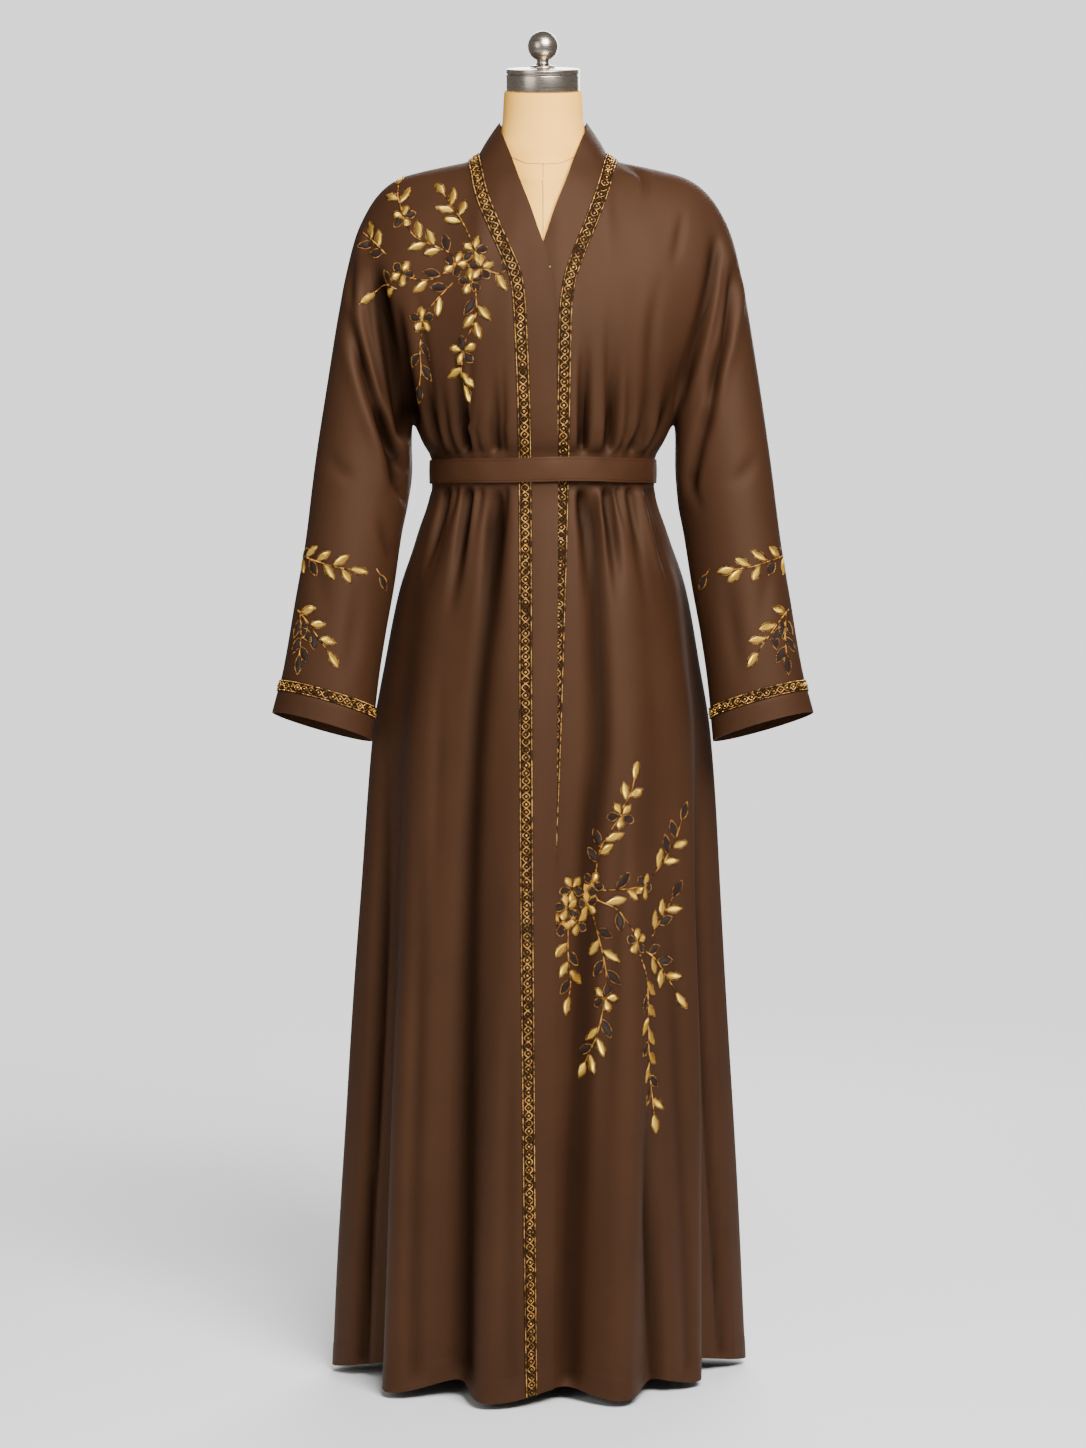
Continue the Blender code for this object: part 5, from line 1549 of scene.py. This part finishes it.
def shader_group(name, inputs, outputs):
    group = bpy.data.node_groups.new(name, "ShaderNodeTree")
    for label, value in inputs:
        socket = group.interface.new_socket(label, in_out="INPUT", socket_type="NodeSocketFloat")
        socket.default_value = value
    for label, kind in outputs:
        group.interface.new_socket(label, in_out="OUTPUT", socket_type=kind)
    return group, group.nodes.new("NodeGroupInput"), group.nodes.new("NodeGroupOutput")


def noise(tree, place, scale, detail):
    feeds = {"Vector": place, "Scale": scale, "Detail": detail}
    return add_node(tree, "ShaderNodeTexNoise", feeds).outputs["Fac"]


def weave_group():
    """Fine crinkled weave: its height, and a slow change of shade over the cloth."""
    group, given, result = shader_group(
        "cloth_weave",
        [("Threads", 1600.0), ("Crinkle", 520.0), ("Mottle", 9.0)],
        [("Height", "NodeSocketFloat"), ("Shade", "NodeSocketFloat")],
    )
    place = add_node(group, "ShaderNodeTexCoord").outputs["Object"]
    fine = noise(group, place, given.outputs["Threads"], 2.0)
    crinkle = noise(group, place, given.outputs["Crinkle"], 3.0)
    slow = noise(group, place, given.outputs["Mottle"], 4.0)
    both = add_node(group, "ShaderNodeMath", {0: fine, 1: crinkle}, operation="ADD")
    group.links.new(both.outputs["Value"], result.inputs["Height"])
    group.links.new(slow, result.inputs["Shade"])
    return group


def new_material(name):
    material = bpy.data.materials.new(name)
    material.use_nodes = True
    tree = material.node_tree
    shader = tree.nodes["Principled BSDF"]
    return material, tree, shader


def blend_colours(tree, factor, first, second, low=0.3, high=0.7):
    ramp = add_node(tree, "ShaderNodeValToRGB", {"Fac": factor})
    ramp.color_ramp.elements[0].position = low
    ramp.color_ramp.elements[1].position = high
    ramp.color_ramp.elements[0].color = (*first, 1)
    ramp.color_ramp.elements[1].color = (*second, 1)
    return ramp.outputs["Color"]


def add_bump(tree, shader, height, strength, distance):
    feeds = {"Height": height, "Strength": strength, "Distance": distance}
    lift = add_node(tree, "ShaderNodeBump", feeds)
    tree.links.new(lift.outputs["Normal"], shader.inputs["Normal"])


def add_roughness(tree, shader, pattern, low, high):
    rough = add_node(tree, "ShaderNodeMapRange", {"Value": pattern, "To Min": low, "To Max": high})
    tree.links.new(rough.outputs["Result"], shader.inputs["Roughness"])


def cloth_material(name, weave, dark, light, roughness, bump, threads=1600.0):
    """Woven cloth, with painted shade in its folds: its colour is darkened and its shine lowered there."""
    material, tree, shader = new_material(name)
    cloth = add_node(tree, "ShaderNodeGroup", node_tree=weave)
    cloth.inputs["Threads"].default_value = threads
    pattern = cloth.outputs["Shade"]
    # Painted shade: the colour darkens and the shine drops where the folds press in
    fold = add_node(tree, "ShaderNodeAttribute", attribute_name="fold")
    feeds = {"Value": fold.outputs["Fac"], "To Min": 1.0, "To Max": 1 - PAINTED_FOLD_SHADE}
    shade = add_node(tree, "ShaderNodeMapRange", feeds).outputs["Result"]
    feeds = {0: blend_colours(tree, pattern, dark, light), "Scale": shade}
    shaded = add_node(tree, "ShaderNodeVectorMath", feeds, operation="SCALE")
    tree.links.new(shaded.outputs["Vector"], shader.inputs["Base Color"])
    add_roughness(tree, shader, pattern, roughness - 0.05, roughness + 0.05)
    add_bump(tree, shader, cloth.outputs["Height"], bump, 0.0004)
    shader.inputs["Specular Tint"].default_value = (1.0, 0.7, 0.5, 1)
    shine = add_node(tree, "ShaderNodeMath", {0: shade, 1: CLOTH_SHINE}, operation="MULTIPLY")
    tree.links.new(shine.outputs["Value"], shader.inputs["Specular IOR Level"])
    return material


def satin_material(name, dark, light, metallic, roughness):
    """Satin stitch: threads run across the leaf, along its own map."""
    material, tree, shader = new_material(name)
    place = add_node(tree, "ShaderNodeUVMap", uv_map="thread")
    feeds = {"Vector": place.outputs["UV"], "Rotation": (0, 0, 0.35)}
    slant = add_node(tree, "ShaderNodeMapping", feeds)
    feeds = {
        "Vector": slant.outputs["Vector"],
        "Scale": 11.0,
        "Distortion": 1.2,
        "Detail": 2.0,
        "Detail Scale": 2.0,
    }
    threads = add_node(tree, "ShaderNodeTexWave", feeds, bands_direction="X").outputs["Fac"]
    colour = blend_colours(tree, threads, dark, light, 0.1, 0.68)
    tree.links.new(colour, shader.inputs["Base Color"])
    add_bump(tree, shader, threads, 0.5, 0.0005)
    shader.inputs["Metallic"].default_value = metallic
    shader.inputs["Specular IOR Level"].default_value = 0.25
    shader.inputs["Roughness"].default_value = roughness
    return material


def bead_material(name, dark, light, roughness):
    """Gilt beads with painted glints: bright and dull spots of colour, so that a row of them sparkles."""
    material, tree, shader = new_material(name)
    glint_patches = noise(tree, add_node(tree, "ShaderNodeTexCoord").outputs["Object"], 190.0, 2.0)
    # Painted glints: the gold's colour swings between near black and bright in spots
    colour = blend_colours(tree, glint_patches, dark, light, 0.42, 0.60)
    tree.links.new(colour, shader.inputs["Base Color"])
    add_bump(tree, shader, glint_patches, 0.25, 0.0003)
    shader.inputs["Metallic"].default_value = 1.0
    shader.inputs["Roughness"].default_value = roughness
    return material


def brushed_material(name, dark, light, roughness, stretch):
    """Metal brushed round its axis: fine marks that run level."""
    material, tree, shader = new_material(name)
    place = add_node(tree, "ShaderNodeTexCoord").outputs["Object"]
    drawn = add_node(tree, "ShaderNodeMapping", {"Vector": place, "Scale": stretch})
    marks = noise(tree, drawn.outputs["Vector"], 60.0, 4.0)
    tree.links.new(blend_colours(tree, marks, dark, light), shader.inputs["Base Color"])
    add_roughness(tree, shader, marks, roughness - 0.06, roughness + 0.08)
    add_bump(tree, shader, marks, 0.12, 0.0003)
    shader.inputs["Metallic"].default_value = 1.0
    return material


Looks = namedtuple("Looks", "crepe belt tape cover thread beads dark_beads satin dark_satin metal painted")


def make_looks():
    weave = weave_group()

    def cloth(name, dark, light, roughness, bump, *threads):
        return cloth_material(name, weave, dark, light, roughness, bump, *threads)

    return Looks(
        crepe=cloth("brown_crepe", (0.027, 0.0100, 0.0040), (0.034, 0.0128, 0.0053), 0.64, 0.25),
        belt=cloth("belt_crepe", (0.031, 0.0115, 0.0047), (0.047, 0.0178, 0.0074), 0.6, 0.3),
        tape=cloth("braid_tape", (0.005, 0.002, 0.001), (0.011, 0.004, 0.0015), 0.8, 0.5, 900.0),
        cover=cloth("form_cotton", (1.0, 0.50, 0.08), (1.0, 0.545, 0.095), 0.75, 0.3, 1100.0),
        thread=cloth("seam_thread", (0.42, 0.22, 0.08), (0.5, 0.27, 0.1), 0.8, 0.3),
        beads=bead_material("braid_gold", (0.07, 0.026, 0.004), (0.98, 0.54, 0.13), 0.28),
        dark_beads=bead_material("antique_gold", (0.06, 0.022, 0.004), (0.85, 0.43, 0.09), 0.3),
        satin=satin_material("gold_satin", (0.32, 0.14, 0.014), (1.0, 0.68, 0.12), 0.95, 0.32),
        dark_satin=satin_material(
            "dark_satin", (0.004, 0.0012, 0.0005), (0.016, 0.005, 0.0018), 0.0, 0.55
        ),
        metal=brushed_material(
            "brushed_nickel", (0.34, 0.29, 0.24), (0.54, 0.47, 0.40), 0.27, (1, 1, 30)
        ),
        painted=brushed_material(
            "painted_iron", (0.02, 0.02, 0.02), (0.04, 0.04, 0.04), 0.5, (1, 1, 1)
        ),
    )


# Belt, form and stand


def belt_cut():
    """The belt's outer face, standing out where it passes over the lapped fronts."""
    low = [BELT_BOTTOM, BELT_BOTTOM + 1, BELT_BOTTOM + BELT_STITCH_INSET]
    high = [BELT_TOP - BELT_STITCH_INSET, BELT_TOP - 1, BELT_TOP]
    rows = np.array([*low, 1081, 1088, 1095, *high])
    angle = np.linspace(0, 2 * math.pi, 240, endpoint=False)
    height, angle = np.meshgrid(rows, angle, indexing="ij")
    radius = mean_radius(angle, height) + BELT_CLEARANCE
    x = radius * np.sin(angle)
    inward = ease((BELT_LIFT_X - np.abs(x)) / BELT_LIFT_EASE)
    radius = radius + BELT_LIFT * ease(np.cos(angle) / 0.3) * inward
    middle = 1 - ((height - (BELT_TOP + BELT_BOTTOM) / 2) / ((BELT_TOP - BELT_BOTTOM) / 2)) ** 2
    radius = radius + 0.6 * middle + (0.35 * np.sin(7 * angle + 1.0) + 0.3 * np.sin(17 * angle)) * middle
    sway = 0.9 * np.sin(2 * angle + 0.6) + 0.5 * np.sin(5 * angle)
    grid = np.stack([radius * np.sin(angle), -radius * np.cos(angle), height + sway], axis=-1)
    return Cut("belt", grid, [0, 0, BELT_TOP], closed=True)


def form_rings():
    coarse = np.linspace(FORM[0].height, FORM_FINE_ABOVE, 40)
    fine = np.linspace(FORM_FINE_ABOVE, FORM[-1].height, 60)
    heights = np.unique(np.concatenate([coarse, fine]))
    angle = np.linspace(0, 2 * math.pi, FORM_SIDES, endpoint=False)
    height, angle = np.meshgrid(heights, angle, indexing="ij")
    share = read(FORM, "neck_share", height)
    x = read(FORM, "half_width", height) * np.sin(angle)
    facing = np.cos(angle)
    depth = np.where(facing > 0, read(FORM, "front", height), read(FORM, "back", height))
    neck = np.exp(-((x / NECK_RISE_WIDTH) ** 2)) * share
    across = facing * (1 - share) + np.sign(np.round(facing, 6)) * neck
    y = read(FORM, "centre_y", height) - depth * across
    tilt = ease((height - TILT_START) / (FORM[-1].height - TILT_START)) * math.tan(CAP_TILT)
    return np.stack([x, y, height + y * tilt], axis=-1)


def make_form(material):
    grid = form_rings()
    rows, columns = grid.shape[:2]
    points = grid.reshape(-1, 3)
    faces = [list(f) for f in grid_faces(rows, columns, closed=True)]
    faces += [list(range(columns))[::-1], [(rows - 1) * columns + i for i in range(columns)]]
    return facing_out(clean_mesh("form_torso_cover", points, faces, material))


def turned(name, profile, material, steps=96):
    """A turned piece on the neck's slant, from radius and height pairs, top to bottom."""
    profile = np.array(profile, float)
    angle = np.linspace(0, 2 * math.pi, steps, endpoint=False)
    ring = np.stack([np.sin(angle), -np.cos(angle)], axis=-1)
    body = profile[1:-1]
    points = np.concatenate(
        [np.concatenate([ring * r, np.full((steps, 1), z)], axis=1) for r, z in body]
    )
    top, bottom = len(points), len(points) + 1
    points = np.concatenate([points, [[0, 0, profile[0, 1]], [0, 0, profile[-1, 1]]]])
    faces = [list(f) for f in grid_faces(len(body), steps, closed=True)]
    last = (len(body) - 1) * steps
    for i in range(steps):
        j = (i + 1) % steps
        faces.append([top, i, j])
        faces.append([bottom, last + j, last + i])
    c, s = math.cos(CAP_TILT), math.sin(CAP_TILT)
    turned_points = points @ np.array([[1, 0, 0], [0, c, s], [0, -s, c]])
    return facing_out(clean_mesh(name, turned_points + [0, 0, FORM[-1].height], faces, material))


def rounded(radius, low, high, corner, steps=4):
    """The outer side of a cylinder with rounded corners, top to bottom."""
    turn = np.linspace(0, math.pi / 2, steps + 1)
    top = [(radius - corner + corner * math.sin(a), high - corner + corner * math.cos(a)) for a in turn]
    foot = [(radius - corner + corner * math.cos(a), low + corner - corner * math.sin(a)) for a in turn]
    return top + foot


def make_fittings(metal):
    top = CAP_GAP + CAP_HEIGHT
    lip = rounded(CAP_RADIUS, top - 5.5, top, 1.2)
    groove = [(CAP_RADIUS - 0.7, top - 5.7), (CAP_RADIUS - 0.7, top - 6.5)]
    wall = rounded(CAP_RADIUS - 0.2, CAP_GAP, top - 6.7, 0.8)
    crown = [(0, top + 1.5), (CAP_RADIUS - 7.5, top + 0.7)]
    cap = turned("neck_cap", [*crown, *lip, *groove, *wall, (0, CAP_GAP)], metal)
    foot = top + 1.8
    centre = foot + BALL_RADIUS + 6.5
    turns = np.linspace(0, 2.66, 28)
    ball = [(BALL_RADIUS * math.sin(a), centre + BALL_RADIUS * math.cos(a)) for a in turns]
    neck = [(7.6, foot + 8), (7.0, foot + 6.6), (7.4, foot + 5), (9.0, foot + 3.2), (11.5, foot + 2.4)]
    flange = [(14.6, foot + 1.9), (15.4, foot + 1.2), (15.5, foot + 0.1), (0, foot)]
    finial = turned("ball_finial", [*ball, *neck, *flange], metal, 64)
    return cap, finial


# Stage


# The backdrop is a great shell of plain light grey that only the camera sees, so that the
# cloth is lit by the lamps and a dim room.
BACKDROP = (1.58, 1.565, 1.56)
ROOM = (0.24, 0.236, 0.23)
FLOOR_GREY = 0.80
FLOOR_FADE = (0.75, 3.2)


def make_stage():
    bpy.ops.mesh.primitive_uv_sphere_add(segments=48, ring_count=24, radius=50, location=(0, 0, 0))
    dome = bpy.context.object
    dome.name = "backdrop"
    material, tree, _ = new_material("backdrop_grey")
    glow = add_node(tree, "ShaderNodeEmission", {"Color": (*BACKDROP, 1.0), "Strength": 1.0})
    tree.links.new(glow.outputs["Emission"], tree.nodes["Material Output"].inputs["Surface"])
    dome.data.materials.append(material)
    dome.visible_diffuse = False
    dome.visible_glossy = False
    dome.visible_shadow = False

    bpy.ops.mesh.primitive_circle_add(vertices=128, radius=FLOOR_FADE[1] + 0.2, fill_type="NGON")
    floor = bpy.context.object
    floor.name = "floor"
    material, tree, shader = new_material("pale_floor")
    shader.inputs["Base Color"].default_value = (FLOOR_GREY, FLOOR_GREY, FLOOR_GREY, 1)
    shader.inputs["Roughness"].default_value = 0.8
    shader.inputs["Specular IOR Level"].default_value = 0.05
    place = add_node(tree, "ShaderNodeTexCoord").outputs["Object"]
    far = add_node(tree, "ShaderNodeVectorMath", {0: place}, operation="LENGTH")
    fade = add_node(
        tree,
        "ShaderNodeMapRange",
        {"Value": far.outputs["Value"], "From Min": FLOOR_FADE[0], "From Max": FLOOR_FADE[1]},
        interpolation_type="SMOOTHSTEP",
    )
    clear = add_node(tree, "ShaderNodeBsdfTransparent")
    mix = add_node(
        tree,
        "ShaderNodeMixShader",
        {0: fade.outputs["Result"], 1: shader.outputs["BSDF"], 2: clear.outputs["BSDF"]},
    )
    tree.links.new(mix.outputs["Shader"], tree.nodes["Material Output"].inputs["Surface"])
    floor.data.materials.append(material)


Light = namedtuple("Light", "place aim size power")
LIGHTS = [
    Light((0.85, -2.35, 2.85), (0, 0, 1.2), 1.7, 295),
    Light((-2.4, -2.8, 1.7), (0, 0, 0.8), 2.0, 36),
    Light((0.5, 3.2, 2.4), (0, 0, 0.8), 2.4, 190),
]


def make_lights():
    for i, light in enumerate(LIGHTS):
        data = bpy.data.lights.new(f"soft_light_{i}", "AREA")
        data.size = light.size
        data.energy = light.power
        made = bpy.data.objects.new(data.name, data)
        made.location = light.place
        made.rotation_euler = (Vector(light.aim) - Vector(light.place)).to_track_quat("-Z", "Y").to_euler()
        bpy.context.scene.collection.objects.link(made)
    world = bpy.data.worlds.new("studio")
    world.use_nodes = True
    world.node_tree.nodes["Background"].inputs["Color"].default_value = (*ROOM, 1)
    bpy.context.scene.world = world


def make_camera():
    data = bpy.data.cameras.new("camera")
    data.lens = LENS
    data.sensor_width = SENSOR
    made = bpy.data.objects.new("camera", data)
    made.location = (0, -EYE_DISTANCE, EYE_HEIGHT)
    aim = Vector((0, EYE_DISTANCE, AIM_HEIGHT - EYE_HEIGHT))
    made.rotation_euler = aim.to_track_quat("-Z", "Y").to_euler()
    bpy.context.scene.collection.objects.link(made)
    bpy.context.scene.camera = made


# Flat cuts: width and length in metres, and the cut's own area
FlatCut = namedtuple("FlatCut", "width length area")


# Putting the pieces together


def cloth_cuts():
    """All the cuts but the belt, draped as one cloth."""
    rear = back_grid()
    cuts = {"back": Cut("back", rear, CHEST_MIDDLE)}
    for side, name in SIDES.items():
        front = front_grid(side)
        arm = (side * ARM_MIDDLE[0], *ARM_MIDDLE[1:])
        sleeve, band = sleeve_grid(side, front, rear), band_grid(side, front, rear)
        cuts[f"front_{name}"] = Cut(f"front_{name}", front, CHEST_MIDDLE)
        cuts[f"sleeve_{name}"] = Cut(f"sleeve_{name}", sleeve, arm, closed=True)
        cuts[f"band_{name}"] = Cut(f"band_{name}", band, CHEST_MIDDLE)
    armholes = [cuts[f"sleeve_{name}"].grid()[0] for name in SIDES.values()]
    drape(list(cuts.values()), armholes)
    return cuts


# The edges of each kind of cut that are sewn to another
SEWN = {
    "back": ["first_column", "last_column", "last_row"],
    "front": ["first_column", "last_column", "last_row"],
    "sleeve": ["first_row"],
    "band": ["first_column", "last_row"],
}


def add_cloth(cuts, looks):
    pieces = {}
    for name, cut in cuts.items():
        made = make_piece(cut, SEWN[name.split("_")[0]], looks.crepe)
        pieces[name] = as_piece(made, name)
        pieces[name].name = f"cloth_{name}"
    return pieces


def ring_between(grid, distance):
    """The ring round a sleeve at a distance above the cuff's edge."""
    steps = np.linalg.norm(np.diff(grid[::-1], axis=0), axis=2)
    gone = np.concatenate([np.zeros((1, grid.shape[1])), np.cumsum(steps, axis=0)])
    upward = grid[::-1]
    ring = []
    for c in range(grid.shape[1]):
        ring.append([np.interp(distance, gone[:, c], upward[:, c, i]) for i in range(3)])
    return np.array(ring)


def add_tape(name, node, strip, normals, middle, looks, closed=False):
    """The dark tape that carries a braid."""
    backing = Cut(name, strip, middle, closed)
    backing.normals = normals.reshape(-1, 3)
    made = shell(name, backing.points, backing.faces, backing.normals, TAPE_LOW, TAPE_HIGH, looks.tape)
    return as_piece(made, node)


def add_trims(cuts, looks, trees):
    """The braids beside the bands and round the cuffs, and what lies on each cut."""
    lying = {}
    for side, name in SIDES.items():
        sheet = cuts[f"front_{name}"].grid()
        neck = cuts["back"].grid()[-1]
        centre = len(neck) // 2
        around = [neck[centre + side * i] for i in range(NECK_COLUMNS - 1, -1, -1)]
        own = surface_tree([cuts[f"front_{name}"], cuts["back"]])
        strip, normals = tape_on(own, np.concatenate([sheet[:, 0], around]), side, TRIM_WIDTH)
        tape = add_tape(f"trim_tape_{name}", f"trim_{name}", strip, normals, CHEST_MIDDLE, looks)
        braid = beaded(f"trim_braid_{name}", strip, normals, trees, looks.beads)
        lying[f"front_{name}"] = [tape, braid]

        grid = cuts[f"sleeve_{name}"].grid()
        low = ring_between(grid, CUFF_TRIM_EDGE)
        high = ring_between(grid, CUFF_TRIM_EDGE + CUFF_TRIM_WIDTH)
        share = np.linspace(0, 1, TAPE_COLUMNS + 1)[:, None]
        cuff = low[:, None] * (1 - share) + high[:, None] * share
        own = surface_tree([cuts[f"sleeve_{name}"]])
        laid, normals = laid_on(own, cuff.reshape(-1, 3), 0.0)
        laid, normals = laid.reshape(cuff.shape), normals.reshape(cuff.shape)
        arm = (side * CUFF_MIDDLE[0], *CUFF_MIDDLE[1:])
        across, facing = laid.transpose(1, 0, 2), normals.transpose(1, 0, 2)
        tape = add_tape(f"cuff_tape_{name}", f"cuff_trim_{name}", across, facing, arm, looks, closed=True)
        braid = beaded(f"cuff_braid_{name}", laid, normals, trees, looks.beads, closed=True)
        lying[f"sleeve_{name}"] = [tape, braid]
    return lying


def add_embroidery(cuts, looks, trees):
    skin = surface_tree([cut for name, cut in cuts.items() if not name.startswith("band")])
    draw = np.random.default_rng(7)
    flipped = [s._replace(points=[(-x, z) for x, z in s.points], side=-s.side) for s in SLEEVE_STEMS]
    stems = [*SHOULDER_STEMS, *SKIRT_STEMS, *SLEEVE_STEMS, *flipped]
    leaves = leaf_marks(skin, stems, draw)
    petals = petal_marks(skin, [*SHOULDER_FLOWERS, *SKIRT_FLOWERS])
    shapes = [
        (leaf_object("leaf_shape", LEAF_FULLNESS), leaves),
        (leaf_object("petal_shape", PETAL_FULLNESS), petals),
    ]
    satins = (
        ("g", looks.satin, "embroidery_gold", LEAF_RISE),
        ("d", looks.dark_satin, "embroidery_dark", 0.5 * LEAF_RISE),
    )
    for kind, finish, slot, rise in satins:
        parts = []
        for shape, marks in shapes:
            guide = spots_object("spots", [m for m in marks if m.kind == kind])
            part = grown("stitched", guide, trees.leaves, {"Leaf": shape, "Finish": finish})
            settled(part, skin, rise)
            parts.append(part)
        as_piece(joined_objects(slot, parts, finish), None)
    for shape, _ in shapes:
        bpy.data.objects.remove(shape)

    outlines = outline_lines(skin, leaves, LEAF_FULLNESS) + outline_lines(skin, petals, PETAL_FULLNESS)
    sizes = {"Spacing": OUTLINE_SPACING, "Radius": OUTLINE_BEAD}
    made = grown_lines("embroidery_outlines", outlines, trees.beads, looks.dark_beads, True, **sizes)
    as_piece(made, None)
    lines = [
        laid_on(skin, dropped(skin, evenly(smooth_path(s.points), 1.5))[0], 0.5)[0] for s in stems
    ]
    sizes = {"Spacing": STEM_SPACING, "Radius": STEM_BEAD}
    made = grown_lines("embroidery_stems", lines, trees.beads, looks.dark_beads, **sizes)
    as_piece(made, None)


def add_belt(looks):
    belt = belt_cut()
    made = shell("cloth_belt", belt.points, belt.faces, belt.normals, 0.0, BELT_WALL, looks.belt)
    grid = belt.grid()
    face = grid + belt.normals.reshape(grid.shape) * (BELT_WALL + 0.1)
    return as_piece(made, "belt"), [face[2], face[-3]]


def add_stitches(lines, looks, trees):
    sizes = {"Spacing": STITCH_SPACING, "Length": STITCH_LENGTH, "Radius": STITCH_RADIUS}
    made = grown_lines("belt_stitches", lines, trees.stitches, looks.crepe, True, **sizes)
    return as_piece(made, None)


def add_form(cuts, looks, trees):
    """The form's cover with its seams, the pin, the snap, the cap and the ball."""
    as_piece(make_form(looks.cover), "form_torso")
    rings = form_rings()
    faces = grid_faces(*rings.shape[:2], True)
    body = BVHTree.FromPolygons(
        [tuple(p) for p in rings.reshape(-1, 3)], [tuple(map(int, f)) for f in faces]
    )
    seams = [laid_on(body, smooth_path(line), 0.15)[0] for line in FORM_SEAMS]
    made = grown_lines("form_seams", seams, trees.cord, looks.thread, Radius=SEAM_THREAD_RADIUS)
    as_piece(made, None)
    pin = laid_on(body, [PIN], PIN_RADIUS * 0.5)[0]
    made = grown_lines("neck_pin", [pin], trees.dots, looks.metal, Radius=PIN_RADIUS)
    as_piece(made, None)
    lap = surface_tree([cuts["band_right"]])
    snap = dropped(lap, [SNAP])[0] + [[0, -SNAP_RADIUS * 0.4, 0]]
    made = grown_lines("lap_snap", [snap], trees.dots, looks.metal, Radius=SNAP_RADIUS)
    as_piece(made, None)
    cap, finial = make_fittings(looks.metal)
    as_piece(cap, "form_neck_cap")
    as_piece(finial, "form_finial")
    for node, material in (("form_pole", looks.metal), ("form_base", looks.painted)):
        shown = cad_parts[node]
        shown.data.materials.clear()
        shown.data.materials.append(material)


def main():
    make_camera()
    make_lights()
    make_stage()
    looks = make_looks()
    cuts = cloth_cuts()
    pieces = add_cloth(cuts, looks)
    pieces["belt"], stitch_lines = add_belt(looks)
    trees = Trees(bead_tree(), dot_tree(), stitch_tree(), leaf_tree(), tube_tree())
    lying = add_trims(cuts, looks, trees)
    add_embroidery(cuts, looks, trees)
    lying["belt"] = [add_stitches(stitch_lines, looks, trees)]
    add_form(cuts, looks, trees)


main()
